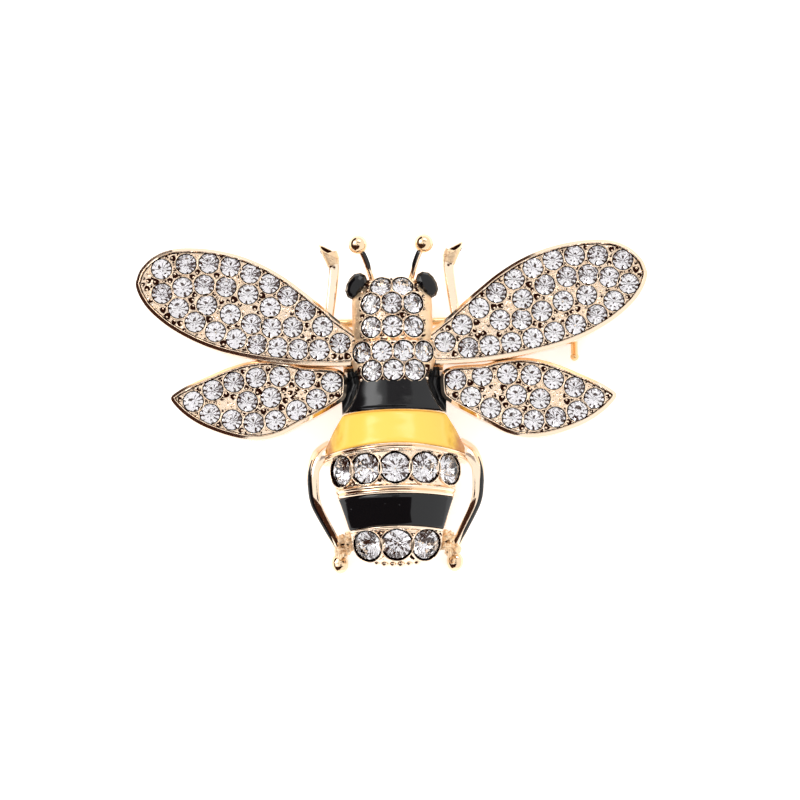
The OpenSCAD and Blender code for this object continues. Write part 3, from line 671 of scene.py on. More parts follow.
def set_on(name, seats, shape, main, back=None, lean=0.0, seed=SEED):
    """A plain mesh object with the shape set on every seat: (centre, axis, size) in millimetres."""
    points = bpy.data.meshes.new(name + " seats")
    points.from_pydata([tuple(c * METRE for c in centre) for centre, _, _ in seats], [], [])
    axis = points.attributes.new("axis", "FLOAT_VECTOR", "POINT")
    axis.data.foreach_set("vector", np.array([s[1] for s in seats], float).ravel())
    size = points.attributes.new("size", "FLOAT", "POINT")
    size.data.foreach_set("value", [s[2] for s in seats])
    maker = linked(name + " seats", points)
    modifier = maker.modifiers.new("Set on seats", "NODES")
    tree = setting_tree()
    modifier.node_group = tree
    given = {"Shape": shape, "Spin": 2 * math.pi, "Lean": lean, "Seed": seed,
             "Main finish": finish_of(main), "Back finish": finish_of(back or main)}
    for item in tree.interface.items_tree:
        if item.in_out == "INPUT" and item.name in given:
            modifier[item.identifier] = given[item.name]
    bpy.context.view_layer.update()
    evaluated = maker.evaluated_get(bpy.context.evaluated_depsgraph_get())
    mesh = bpy.data.meshes.new_from_object(evaluated)
    maker.modifiers.clear()
    remove_shape(maker)
    if not len(mesh.polygons):
        raise RuntimeError(f"{name}: nothing was set on its seats")
    mesh.name = name
    if BACK_MARK in mesh.attributes:
        mesh.attributes.remove(mesh.attributes[BACK_MARK])
    return linked(name, mesh)


def hidden_shape(name, verts, faces, back=None, **shading):
    """A shape of unit size, one millimetre in radius, for the node group to set; back says of each face
    whether it takes the back finish."""
    obj = make_object(name, verts, faces, **shading)
    marks = obj.data.attributes.new(BACK_MARK, "BOOLEAN", "FACE")
    marks.data.foreach_set("value", back or [False] * len(faces))
    obj.hide_render = True
    return obj


def remove_shape(obj):
    """Removes an object and its mesh."""
    mesh = obj.data
    bpy.data.objects.remove(obj)
    bpy.data.meshes.remove(mesh)


def stone_shape(name, facets, edge, table_share, crown, depth, core, flute):
    """A cut stone of unit radius with its girdle at 0: table, two rows of crown facets, and a back of
    flat wedges whose core, round the point, is a little steeper."""
    def ring(count, r, z, shift=0.0, wave=0.0):
        return [(x, y, z + wave * (-1) ** i) for i, (x, y) in enumerate(circle(count, r, shift))]

    half = facets // 2
    core_z = -0.12 - (edge - 0.03 - core) * depth
    verts = ring(facets, edge, -0.08) + ring(facets, edge, -0.01)
    verts += ring(half, (edge + table_share) / 2 + 0.02, crown * 0.52, 0.5)
    verts += ring(half, table_share, crown)
    verts += ring(facets, edge - 0.03, -0.12, 0.0, flute) + ring(facets, core, core_z, 0.0, -flute * 0.4)
    verts.append((0, 0, core_z - core * 1.02))
    low, high, mid, top = 0, facets, 2 * facets, 2 * facets + half
    back, heart, culet = 2 * facets + 2 * half, 3 * facets + 2 * half, 4 * facets + 2 * half
    faces = [(low + i, low + (i + 1) % facets, high + (i + 1) % facets, high + i) for i in range(facets)]
    for i in range(half):
        a, b, c = 2 * i, 2 * i + 1, (2 * i + 2) % facets
        after, before = (i + 1) % half, (i - 1) % half
        faces += [(high + a, high + b, mid + i), (high + b, high + c, mid + i),
                  (high + a, mid + i, top + i, mid + before), (mid + i, top + after, top + i)]
    faces.append(tuple(top + i for i in range(half)))
    crown_faces = len(faces)
    for i in range(facets):
        n = (i + 1) % facets
        faces += [(low + n, low + i, back + i, back + n), (back + n, back + i, heart + i, heart + n),
                  (heart + n, heart + i, culet)]
    foil = [k >= crown_faces for k in range(len(faces))]
    return hidden_shape(name, verts, faces, foil, smooth=False)


FORWARD = 0.44  # Share of the body's length that lies forward of the middle
# The body's sections, as in its solid: share of the length, of the dome radius, of half the width
SECTIONS = np.array([
    [0.000, 0.40, 0.25], [0.014, 0.55, 0.36], [0.046, 0.66, 0.50], [0.075, 0.715, 0.53],
    [0.105, 0.735, 0.535], [0.205, 0.735, 0.535], [0.220, 0.700, 0.525], [0.228, 0.700, 0.530],
    [0.240, 0.775, 0.545], [0.300, 0.800, 0.545], [0.370, 0.810, 0.490], [0.430, 0.830, 0.570],
    [0.475, 0.855, 0.675], [0.530, 0.905, 0.835], [0.570, 0.945, 0.930], [0.602, 0.975, 0.985],
    [0.624, 0.985, 1.000], [0.630, 0.985, 0.815], [0.740, 0.965, 0.810], [0.770, 0.950, 0.770],
    [0.875, 0.840, 0.625], [0.925, 0.790, 0.600], [0.970, 0.680, 0.440], [1.000, 0.520, 0.250]])
# Swing of the bands' ends: share of the length, and millimetres for each square millimetre off the middle
BOW = np.array([[0.45, 0.0], [0.48, 0.004], [0.594, 0.0145], [0.625, 0.0145], [0.66, 0.0], [0.70, 0.0],
                [0.745, 0.006], [0.79, 0.006], [0.874, 0.013], [0.90, 0.0], [1.0, 0.0]])
BLACK_THORAX, YELLOW, CRYSTAL = (0.376, 0.474), (0.484, 0.594), (0.620, 0.738)
BLACK_BELLY, TAIL_FLOOR = (0.770, 0.874), (0.888, 1.2)
# Ridges beside the bands: place and width. Grooves between pairs of ridges: depth and place
RIDGES = ((0.479, 0.0052), (0.599, 0.0036), (0.613, 0.0045), (0.746, 0.0055), (0.762, 0.0045),
          (0.881, 0.0048))
GROOVES = ((0.12, 0.606), (0.14, 0.754))
# Beads at the tail's end: place across and radius
TAIL_BEADS = ((-1.95, 0.34), (-1.2, 0.4), (-0.42, 0.34), (0.36, 0.4), (1.14, 0.34), (1.9, 0.4))
SMALL_GROUPS = ("head", "thorax")
STONE_NODES = {
    "head": ["head_stone_%d" % i for i in range(1, 9)],
    "thorax": ["thorax_stone_%d" % i for i in range(1, 8)],
    "belly": ["belly_stone_%d" % i for i in range(1, 6)],
    "tail": ["tail_stone_%d" % i for i in range(1, 4)],
}


def share_of(y):
    """Share of the body's length, from the front of the head, at this place."""
    length = mm(settings().body.length)
    return (FORWARD * length - y) / length


def along(at):
    """Place of a share of the body's length."""
    return (FORWARD - at) * mm(settings().body.length)


def bow(at, x):
    """How far a band's ends swing towards the tail, at a distance from the middle."""
    return np.interp(at, BOW[:, 0], BOW[:, 1]) * np.asarray(x) ** 2


def dome_radius(at):
    """Radius of the dome that the enamel and the rims lie on."""
    return mm(settings().body.dome) * np.interp(at, SECTIONS[:, 0], SECTIONS[:, 1])


def half_width(at):
    """Half of the body's width."""
    return mm(settings().body.width) / 2 * np.interp(at, SECTIONS[:, 0], SECTIONS[:, 2])


def step(x, low, high):
    """A smooth step from 0 at low to 1 at high."""
    t = np.clip((x - low) / (high - low), 0, 1)
    return t * t * (3 - 2 * t)


def trough(at, band, depth, soft=0.0045):
    """How far the metal lies under the dome in a band, with rounded shoulders."""
    return depth * step(at, band[0] - soft, band[0] + soft) * (1 - step(at, band[1] - soft, band[1] + soft))


def bump(at, centre, width):
    """A smooth ridge of height 1."""
    return np.exp(-((at - centre) / width) ** 2)


def metal_radius(at):
    """Radius of the body's metal skin: the dome, less its troughs, with the ridges beside them."""
    r = dome_radius(at) - trough(at, YELLOW, 0.38) - trough(at, CRYSTAL, 0.3)
    r -= trough(at, BLACK_BELLY, 0.38) + trough(at, TAIL_FLOOR, 0.25) + trough(at, BLACK_THORAX, 0.38)
    for centre, width in RIDGES:
        r += mm(settings().body.ridge) * bump(at, centre, width)
    for depth, centre in GROOVES:
        r -= depth * bump(at, centre, 0.0026)
    return r


def section_points(at, radius, width, base, columns, crisp):
    """One section of the body, from its left back rim over the dome to its right back rim."""
    axis = mm(settings().body.axis)
    phi = np.linspace(-math.pi / 2, math.pi / 2, columns)
    s, c = np.sin(phi), np.cos(phi)
    lift = base - axis
    dome = -lift * c + np.sqrt(np.maximum(lift * lift * c * c + radius * radius - lift * lift, 0.01))
    side = width / np.maximum(np.abs(s), 1e-6)
    t = (dome ** -crisp + side ** -crisp) ** (-1 / crisp)
    return np.stack([t * s, along(at) - bow(at, t * s), base + t * c], 1)


def body_shell():
    """The hollow body: domed skin with its troughs and ridges, thick wall and open back."""
    body = settings().body
    wall, base = mm(body.wall), mm(body.rim)
    columns = 97
    ends = 0.35 / mm(body.length)
    shares = np.unique(np.concatenate([
        np.linspace(0, ends, 6), np.linspace(ends, 0.37, 70), np.linspace(0.37, 0.90, 190),
        np.linspace(0.90, 1 - ends, 22), np.linspace(1 - ends, 1, 6)]))
    outer, inner = [], []
    for at in shares:
        # Drawn in at both ends, over the round of the tail, and under the thorax enamel
        edge = min(at, 1 - at) / ends
        draw = 0.35 * (1 - math.sqrt(max(0.0, 1 - (1 - min(edge, 1)) ** 2)))
        draw += 1.1 * (1 - math.sqrt(max(0.0, 1 - min(1.0, max(0.0, (at - 0.956) / 0.044)) ** 2)))
        draw += 0.9 * (step(at, 0.332, 0.346) - step(at, 0.466, 0.474))
        outer.append(section_points(at, metal_radius(at) - draw, half_width(at) - draw, base, columns, 26.0))
    first = wall / mm(body.length)
    for at in np.clip(shares, first, 1 - first):
        inner.append(section_points(at, dome_radius(at) - wall, max(half_width(at) - wall, 0.25),
                                    base, columns, 14.0))
    outer, inner = np.array(outer), np.array(inner)
    inner[:, :, 2] = np.minimum(inner[:, :, 2], outer[:, :, 2] - 0.6)
    inner[:, 0, 2] = inner[:, -1, 2] = base
    # A well under each stone, no deeper than its cup hides
    for names in STONE_NODES.values():
        for centre, axis, radius in seats_of(*names):
            off = outer - centre
            high = off @ axis
            wide = np.linalg.norm(off - high[..., None] * axis, axis=2)
            floor = -radius * (0.4 + 1.04 * np.maximum(1.05 - wide / radius, 0))
            outer[(wide < radius * 1.1) & (high > floor)] -= axis * radius
    rows = len(shares)
    half = rows * columns
    faces = grid_faces(rows, columns)
    faces += [tuple(reversed(f)) for f in grid_faces(rows, columns, half)]
    for r in range(rows - 1):
        for c in (0, columns - 1):
            a, b = r * columns + c, (r + 1) * columns + c
            quad = (a, b, half + b, half + a)
            faces.append(quad if c == 0 else tuple(reversed(quad)))
    for r, flip in ((0, False), (rows - 1, True)):
        for start in (0, half):
            loop = range(start + r * columns, start + (r + 1) * columns)
            faces.append(tuple(loop if flip == (start == 0) else reversed(loop)))
    verts = [tuple(p) for p in np.concatenate([outer.reshape(-1, 3), inner.reshape(-1, 3)])]
    return outward(make_object("body_shell", verts, faces, angle=55))


def on_skin(at, angle, radius):
    """A point and outward direction on the dome."""
    axis = mm(settings().body.axis)
    return (np.array([radius * math.sin(angle), along(at), axis + radius * math.cos(angle)]),
            np.array([math.sin(angle), 0, math.cos(angle)]))


def cup_shape(skirt):
    """A drilled seat of unit radius with its raised collar, whose outside runs down to skirt. Below the
    collar its inside takes the dark seat colour, painted shade in the seat.
    """
    profile = [(1.2, -skirt), (1.19, -0.10), (1.17, 0.0), (1.145, 0.045), (1.12, 0.05), (1.1, 0.02),
               (1.085, -0.08), (1.05, -0.34), (0.55, -0.86), (0.0, -1.2)]
    sides, collar = 28, 5
    verts, faces = turned(profile, sides)
    # Faces inside the collar take the dark seat colour: painted shade in the drilled seat
    painted_shade = [k >= collar * sides for k in range(len(faces))]
    return hidden_shape("seat cup", verts, [tuple(reversed(f)) for f in faces], painted_shade, angle=70)


def bead_shape():
    """A low cast grain of unit radius."""
    profile = [(0.0, 0.82), (0.3, 0.77), (0.56, 0.6), (0.78, 0.32), (0.92, 0.0), (1.0, -0.5)]
    return hidden_shape("grain", *turned(profile, 12), angle=70)


def shade_pit_shape():
    """A small three-cornered pit between the stones, of unit radius: a low disc in the dark seat colour,
    which paints the shade of a casting pit.
    """
    count = 9
    loop = [(1.0 + 0.16 * math.cos(3 * a)) * np.array([math.cos(a), math.sin(a)])
            for a in np.arange(count) * 2 * math.pi / count]
    verts = [(x, y, -0.3) for x, y in loop] + [(0.92 * x, 0.92 * y, 0.2) for x, y in loop]
    faces = grid_faces(2, count, closed=True) + [tuple(range(count, 2 * count))]
    return hidden_shape("pit", verts, faces, angle=30)


def scatter(grains, seed):
    """Moves each grain to one side of its gap and leaves a pit where the gap was, a dark disc of painted
    shade: (grains, pits).
    """
    chance = np.random.default_rng(seed)
    shifted, pits = [], []
    for spot, out, r in grains:
        across = np.cross(out, chance.normal(size=3))
        across /= np.linalg.norm(across)
        shifted.append((spot + across * r * 0.34, out, r * chance.uniform(0.5, 0.68)))
        if r < 0.27 or chance.random() < 0.6:
            pits.append((spot - across * r * 0.12, out, r * chance.uniform(0.9, 1.3)))
    return shifted, pits


def pack_grains(region, holes, limit=90):
    """Grains in the gaps between the holes: widest gap first, each as large as fits."""
    low, high = region.min(0), region.max(0)
    xs, ys = np.arange(low[0], high[0], 0.1), np.arange(low[1], high[1], 0.1)
    points = np.stack(np.meshgrid(xs, ys), -1).reshape(-1, 2)
    points = points[inside(points, region)]
    room = to_loop(points, region)
    for centre, radius in holes:
        room = np.minimum(room, np.linalg.norm(points - centre, axis=1) - radius)
    grains = []
    while len(grains) < limit:
        k = int(room.argmax())
        if room[k] < GRAIN_LEAST:
            break
        radius = min(room[k], GRAIN_MOST)
        grains.append((points[k].copy(), radius))
        room = np.minimum(room, np.linalg.norm(points - points[k], axis=1) - radius * 1.15)
    return grains


def body_grains(group, seats):
    """The grains between a group's stones, packed on the unrolled dome and laid back on it."""
    reach = 1.0 if group in SMALL_GROUPS else 1.35
    holes = []
    for centre, _, radius in seats:
        angle = math.atan2(centre[0], centre[2] - mm(settings().body.axis))
        holes.append((np.array([angle * dome_radius(share_of(centre[1])), centre[1]]), radius * HOLE))
    flat = np.array([place for place, _ in holes])
    low, high = flat.min(0) - np.array([1.35, 1.0]) * reach, flat.max(0) + np.array([1.35, 0.95]) * reach
    box = np.array([[low[0], low[1]], [low[0], high[1]], [high[0], high[1]], [high[0], low[1]]])
    box = np.concatenate([box[i] + (box[(i + 1) % 4] - box[i]) * np.linspace(0, 1, 60, False)[:, None]
                          for i in range(4)])
    grains = []
    for (across, y), size in pack_grains(box, holes, 60):
        at = share_of(y)
        radius = metal_radius(at)
        if abs(across) / radius <= math.asin(min(1.0, (half_width(at) - size) / radius)):
            grains.append((*on_skin(at, across / radius, radius - 0.03), size))
    return grains


def set_details(name, seats, grains, skirt, seed):
    """Sets the collars on their seats, and the grains and pits in the gaps between them; the seats' insides
    and the pits take the dark seat colour as painted shade.
    """
    grains, pits = scatter(grains, seed)
    for kind, places, shape, finishes in (("_seats", seats, cup_shape(skirt), ("polished", "seat")),
                                          ("_grains", grains, bead_shape(), ("polished",)),
                                          # The pits are dark discs in the seat colour, painted shade between
                                          # the stones
                                          ("_pits", pits, shade_pit_shape(), ("seat",))):
        settle_cast(set_on(name + kind, places, shape, *finishes))
        remove_shape(shape)


# Wings: outlines as shares of the length and width, from the root along the front edge
FOREWING = [
    [-0.035, 0.110], [0.000, 0.158], [0.091, 0.232], [0.182, 0.326], [0.273, 0.411],
    [0.364, 0.490], [0.473, 0.553], [0.582, 0.580], [0.691, 0.568], [0.800, 0.520],
    [0.895, 0.437], [0.960, 0.311], [0.995, 0.158], [1.000, 0.042],
    [0.994, -0.030], [0.960, -0.132], [0.900, -0.237], [0.800, -0.337], [0.682, -0.400],
    [0.573, -0.423], [0.473, -0.416], [0.364, -0.389], [0.273, -0.353],
    [0.182, -0.313], [0.091, -0.258], [0.000, -0.195], [-0.035, -0.130]]
HINDWING = [
    [0.000, 0.110], [0.060, 0.215], [0.234, 0.270], [0.322, 0.333], [0.444, 0.378],
    [0.544, 0.372], [0.655, 0.321], [0.760, 0.244], [0.889, 0.141], [0.970, 0.052],
    [1.000, -0.013], [0.982, -0.103], [0.924, -0.244], [0.842, -0.378], [0.737, -0.494],
    [0.632, -0.577], [0.544, -0.615], [0.468, -0.615], [0.380, -0.571], [0.281, -0.474],
    [0.187, -0.385], [0.099, -0.295], [0.020, -0.190], [0.000, -0.060]]
WINGS = {
    "forewing_left": (-1, "forewing_stones_left"), "forewing_right": (1, "forewing_stones_right"),
    "hindwing_left": (-1, "hindwing_stones_left"), "hindwing_right": (1, "hindwing_stones_right")}


def wing_frame(name):
    """Outline in millimetres and the matrix, in millimetres, that puts the wing in place."""
    wings = settings().wings
    side = WINGS[name][0]
    if name.startswith("fore"):
        loop = [(a * mm(wings.fore_length), b * mm(wings.fore_width)) for a, b in FOREWING]
        root, angle, z = (4.0, 5.4), wings.fore_sweep, mm(wings.fore_z)
    else:
        loop = [(a * mm(wings.hind_length), b * mm(wings.hind_width)) for a, b in HINDWING]
        angle = -(wings.drop_left if side < 0 else wings.drop_right)
        root, z = (4.6, 2.0), mm(wings.hind_z)
    matrix = Matrix.Translation((*root, z)) @ Matrix.Rotation(angle, 4, "Z")
    return smooth_loop(loop, 8), MIRROR @ matrix if side < 0 else matrix


def wing_plate(name):
    """One wing: rounded underside, draughted side, rolled rim and a floor drilled for its stones. Gives
    the piece and the grains that lie between its stones."""
    wings = settings().wings
    loop, matrix = wing_frame(name)
    thick, rim = mm(wings.plate), mm(wings.rim_width)
    floor = thick - mm(wings.rim_height)
    # Inset and height of each ring, from under the wing, up its side and over the rim to the floor
    rings = [(0.5, 0.0), (0.16, 0.0), (0.05, 0.05), (0.0, 0.16), (0.0, thick * 0.55), (0.005, thick - 0.3),
             (0.01, thick - 0.25), (0.025, thick - 0.237), (0.265, thick - 0.05), (0.28, thick - 0.038),
             (0.31, thick - 0.01), (0.34, thick), (0.365, thick - 0.01), (0.38, thick - 0.03),
             (rim - 0.01, thick - 0.105), (rim, thick - 0.12), (rim + 0.1, floor)]
    count = len(loop)
    verts = [(x, y, z) for d, z in rings for x, y in inset(loop, d)]
    faces = grid_faces(len(rings), count, closed=True) + [tuple(range(count - 1, -1, -1))]
    back = matrix.inverted()
    seats = [(back @ Vector(centre), radius) for centre, _, radius in seats_of(WINGS[name][1])]
    holes = [(np.array([place.x, place.y]), radius * HOLE) for place, radius in seats]
    edge = inset(loop, rim + 0.1)
    points, edges = [Vector(p) for p in edge], [(i, (i + 1) % count) for i in range(count)]
    for (x, y), r in holes:
        start = len(points)
        points += [Vector((x + r * math.cos(a), y + r * math.sin(a)))
                   for a in np.arange(HOLE_SIDES) * 2 * math.pi / HOLE_SIDES]
        edges += [(start + i, start + (i + 1) % HOLE_SIDES) for i in range(HOLE_SIDES)]
    flat, _, tris, *_ = delaunay_2d_cdt(points, edges, [], 0, 1e-5)
    flat, tris = np.array([[p.x, p.y] for p in flat]), np.array(tris)
    middle = flat[tris].mean(1)
    keep = inside(middle, edge)
    for centre, r in holes:
        keep &= np.linalg.norm(middle - centre, axis=1) > r * 0.985
    start = len(verts)
    verts += [(x, y, floor) for x, y in flat]
    faces += [tuple(start + int(i) for i in t) for t in tris[keep]]
    piece = outward(make_object(name + "_plate", [matrix @ Vector(v) for v in verts], faces, angle=50), 5e-6)
    smoothed(piece.data, 50)
    level = (matrix @ Vector((0, 0, floor))).z * METRE
    # Height of the rim's inner foot, whose faces take the dark seat colour as a painted shadow line
    foot = (matrix @ Vector((0, 0, (thick - 0.12 + floor) / 2))).z * METRE

    def finish(polygon):
        """Cast on the floor, the dark seat colour as a painted shadow line on the foot of the rim, and
        polished on the rest.
        """
        if abs(polygon.center.z - level) < 2e-6 and polygon.normal.z > 0.9:
            return 1
        return 2 if abs(polygon.center.z - foot) < 8e-6 else 0

    paint(piece, finish, "polished", "cast", "seat")
    up = np.array([0, 0, 1.0])
    return piece, [(np.array(matrix @ Vector((*place, floor - 0.02))), up, size)
                   for place, size in pack_grains(inset(loop, rim + 0.08), holes)]


# Limbs: joints on the right side, each a place and a share of the thickness
HIND_LEG = [
    ((6.1, -3.8, 3.5), 1.1), ((7.25, -4.8, 3.95), 1.3), ((7.95, -6.25, 4.1), 0.97),
    ((7.97, -8.2, 4.05), 0.88), ((7.8, -9.4, 3.95), 0.84), ((7.38, -10.45, 3.7), 0.76),
    ((6.5, -12.1, 3.0), 0.7), ((5.9, -13.3, 2.4), 0.72), ((5.6, -14.2, 1.7), 0.78)]
FORE_LEG = [((6.5, 7.0, 4.15), 1.0), ((6.05, 9.6, 4.15), 1.02), ((5.62, 13.0, 4.2), 1.15),
            ((5.68, 14.0, 4.25), 1.35), ((6.05, 15.15, 4.35), 1.6)]
ANTENNA = [((1.75, 11.7, 5.2), 1.0), ((2.5, 13.9, 6.3), 1.0), ((3.2, 15.35, 6.7), 1.0)]
# Dark spots of the right hind leg in the seat colour, a painted reflection on the foot and painted shade in
# the crevices by the lumps, and its solder lumps: place and radius
LEG_SHADE_SPOTS = [(5.56, -15.5, 1.72, 0.24), (5.2, -13.4, 2.75, 0.2), (4.66, -13.4, 3.55, 0.2),
            (5.02, -14.3, 2.4, 0.18), (4.1, -13.4, 4.4, 0.18)]
SOLDER = [(4.95, -13.0, 3.1, 0.62), (4.35, -12.9, 3.9, 0.66), (4.5, -13.8, 3.3, 0.5), (3.7, -13.5, 4.3, 0.5)]
# Rings of a hollow cut end: share of the outline left, and height above the cut
HOLLOW_END = ((0.93, 0.03), (0.86, 0.03), (0.8, -0.04), (0.68, -0.45))


def limb_path(joints, side, steps):
    """The smooth path of a limb, and the share of its thickness at each of its points."""
    path = smooth_path([np.array(place) * (side, 1, 1) for place, _ in joints], steps)
    last = len(joints) - 1
    return path, np.interp(np.linspace(0, last, len(path)), range(last + 1), [share for _, share in joints])


def swept(name, path, radii, section, cut=None, dome=True):
    """A bar along a path. section is a loop of unit size, or one loop for each point of the path;
    cut is the direction of a flat cut end, which is hollow."""
    sections = section if isinstance(section[0], list) else [section] * len(path)
    rings = []
    for k, (p, r) in enumerate(zip(path, radii)):
        tangent = path[min(k + 1, len(path) - 1)] - path[max(k - 1, 0)]
        tangent = tangent / np.linalg.norm(tangent)
        side = np.cross(tangent, (0.0, 0.0, 1.0))
        side /= np.linalg.norm(side)
        top = np.cross(side, tangent)
        rings.append([p + r * (a * side + b * top) for a, b in sections[k]])
    if cut is not None:
        face = np.array(cut, float) / np.linalg.norm(cut)
        last = np.array([q + tangent * (-(q - p) @ face / (tangent @ face)) for q in rings[-1]])
        centre = last.mean(0)
        rings[-1] = last
        rings += [centre + (last - centre) * left + face * high for left, high in HOLLOW_END]
    elif dome:
        rings += [[p + tangent * r * 0.8 * t + r * math.sqrt(1 - t * t) * (a * side + b * top)
                   for a, b in sections[-1]] for t in (0.35, 0.65, 0.88)]
    verts = [tuple(q) for ring in rings for q in ring]
    return outward(make_object(name, verts, tube_faces(len(rings), len(sections[-1])), angle=42))


def facet_section(count, power):
    """A bar with flattened sides and rounded corners."""
    return [(math.copysign(abs(c) ** power, c), math.copysign(abs(s) ** power, s))
            for c, s in circle(count, shift=0.5)]


def leg_section(sign):
    """A flat-topped bar with a wide bevel on its outer side; sign says which side that is."""
    loop = [(1.0, -0.85), (1.0, -0.3), (0.98, -0.25), (0.2, 0.5), (0.16, 0.53), (-0.7, 0.6), (-0.88, 0.56),
            (-1.0, 0.36), (-1.0, -0.85)]
    return [(sign * a, b) for a, b in loop][::sign]


def enamel_line(name, path, radii, sign, low, high, start, end):
    """A raised line of black enamel along a bar's bevel, between two points of its section."""
    low, high = np.array(low), np.array(high)
    out = np.array([abs(high[1] - low[1]), abs(low[0] - high[0])])
    out /= np.linalg.norm(out)
    loops = []
    for k in range(len(path)):
        t = (k / (len(path) - 1) - start) / (end - start)
        wide = max(0.04, min(1.0, 5 * t, 5 * (1 - t))) if 0 < t < 1 else 0.04
        middle, reach = (low + high) / 2, (low - high) / 2 * wide
        loop = [middle + across * reach + rise * out for across, rise in
                ((1, -0.1), (1, 0.02), (0.5, 0.07), (-0.5, 0.07), (-1, 0.02), (-1, -0.1))]
        loops.append([(sign * x, y) for x, y in loop][::sign])
    first, last = (int(round(e * (len(path) - 1))) for e in (start, end))
    piece = swept(name, path[first:last + 1], radii[first:last + 1], loops[first:last + 1], dome=False)
    settle(piece, "black", ["casting"])


def lump(name, centre, radii, rough, seed, flat=2.0):
    """An uneven cast lump; more than 2 flattens its top."""
    verts, faces = sphere(22, 36)
    out = []
    for v in verts:
        v = Vector(v)
        grow = 1 + rough * noise.noise(v * 1.7 + Vector((seed, 0, 0))) \
            + rough * 0.45 * noise.noise(v * 4.3 + Vector((0, seed, 0)))
        grow *= (math.hypot(v.x, v.y) ** flat + abs(v.z) ** flat) ** (-1 / flat)
        out.append([centre[k] + radii[k] * grow * v[k] for k in range(3)])
    return outward(make_object(name, out, faces))


def ball(name, centre, radius):
    """A round ball."""
    verts, faces = sphere(18, 32)
    return outward(make_object(name, [[centre[k] + radius * v[k] for k in range(3)] for v in verts], faces))


class OBJECT_OT_brooch_body(bpy.types.Operator):
    """Builds the hollow body with its ridges, seats and grains"""
    bl_idname = "object.brooch_body"
    bl_label = "Cast body"

    def execute(self, context):
        shell = body_shell()

        def finish(polygon):
            """Polished on the ridges, satin on the sides of the head, whose darker plate colour is painted
            shade, and cast on the rest.
            """
            at = share_of(polygon.center.y / METRE)
            if 0.372 < at < 0.622 or 0.738 < at < 0.89:
                return 0
            # Faces of the head that face sideways take the satin finish, whose darker plate colour paints
            # shade on the sides
            return 2 if at < 0.37 and abs(polygon.normal.x) > 0.45 else 1

        paint(shell, finish, "polished", "cast", "satin")
        settle_cast(shell)
        seats, grains = [], []
        for group, names in STONE_NODES.items():
            here = seats_of(*names)
            seats += grown(here)
            grains += body_grains(group, here)
        set_details("body", seats, grains, 0.8, SEED)
        at = 0.999
        top = mm(settings().body.axis) + dome_radius(at) - 0.85
        beads = [ball("bead", (x, along(at) + 0.1 + 0.06 * x * x, top - 0.1 * x * x), r)
                 for x, r in TAIL_BEADS]
        settle_cast(join("tail_beads", beads), "polished")
        return {"FINISHED"}


class OBJECT_OT_brooch_wings(bpy.types.Operator):
    """Builds the four wings with their rims, seats and grains"""
    bl_idname = "object.brooch_wings"
    bl_label = "Wings"

    def execute(self, context):
        for name, (_, stones) in WINGS.items():
            piece, grains = wing_plate(name)
            settle_cast(piece)
            set_details(name, grown(seats_of(stones)), grains, 0.3, SEED + len(name))
        return {"FINISHED"}


def hind_leg(side, word):
    """A bevelled hind leg with its foot, its enamel line and the lumps that solder it to the tail."""
    limbs = settings().limbs
    path, shares = limb_path(HIND_LEG, side, 6)
    radii = shares * mm(limbs.hindleg) / 2
    leg = swept("hind_leg_" + word, path, radii, leg_section(-side), dome=False)
    half = mm(limbs.foot) / 2
    foot = lump("foot_" + word, (5.6 * side, -15.17, 0.98), (half, half + 0.1, half + 0.04), 0.07, 3.1, 2.5)
    # Dark spots in the seat colour: a painted reflection on the foot and painted shade in the crevices by the
    # tail lumps
    pits = [lump("pit", (x * side, y, z), (r, r * 0.75, r * 0.6), 0.5, 4.7 + x) for x, y, z, r in LEG_SHADE_SPOTS]
    settle_cast(join("cast_pits_" + word, pits), "seat")
    settle_cast(leg, "polished")
    # The foot takes the plate colour darkened, painted shade on its edges
    settle_cast(foot, "shaded_plate")
    lumps = [lump("heel", (5.35 * side, -13.95, 2.0), (0.72, 0.8, 0.95), 0.5, 1.7)]
    lumps += [lump("solder", (x * side, y, z), (r, r * 0.85, r * 0.8), 0.7, 2.3 + 4 * x)
              for x, y, z, r in SOLDER]
    # The lumps take the satin finish, in the darker plate colour that paints shade on them
    settle_cast(join("tail_lumps_" + word, lumps), "satin")
    enamel_line("hind_leg_line_" + word, path, radii, -side, (0.96, -0.22), (0.26, 0.45), 0.19, 0.9)


def foreleg(side, word):
    """A foreleg that flares to a hollow cut end."""
    path, shares = limb_path(FORE_LEG, side, 8)
    sides, flare, hollow = 32, len(path) - 11, len(path) + 2
    leg = swept("foreleg_" + word, path, shares * mm(settings().limbs.foreleg) / 2,
                facet_section(sides, 0.62), cut=(-0.42 * side, 0.75, 0.42))

    def finish(polygon):
        """Polished along the leg, satin on the flare in the darker plate colour that paints shade, and the
        dark seat colour painted as shade in the hollow.
        """
        row = min(polygon.vertices) // sides
        return 2 if row >= hollow else 1 if row >= flare else 0

    paint(leg, finish, "polished", "satin", "seat")
    settle_cast(leg)


def antenna(side, word):
    """An antenna with its end ball and its enamel line."""
    limbs = settings().limbs
    path, shares = limb_path(ANTENNA, side, 9)
    radii = shares * mm(limbs.antenna) / 2
    rod = swept("antenna_" + word, path, radii, circle(16))
    end = ball("antenna_ball_" + word, path[-1], mm(limbs.ball) / 2)
    settle_cast(rod, "polished")
    # The ball takes the plate colour darkened, painted shade on its edges
    settle_cast(end, "shaded_plate")
    enamel_line("antenna_line_" + word, path, radii, side, (-1.02, 0.62), (0.12, 1.2), 0.26, 0.8)


class OBJECT_OT_brooch_limbs(bpy.types.Operator):
    """Builds the legs and antennae"""
    bl_idname = "object.brooch_limbs"
    bl_label = "Legs and antennae"

    def execute(self, context):
        for side, word in SIDES:
            hind_leg(side, word)
            foreleg(side, word)
            antenna(side, word)
        return {"FINISHED"}


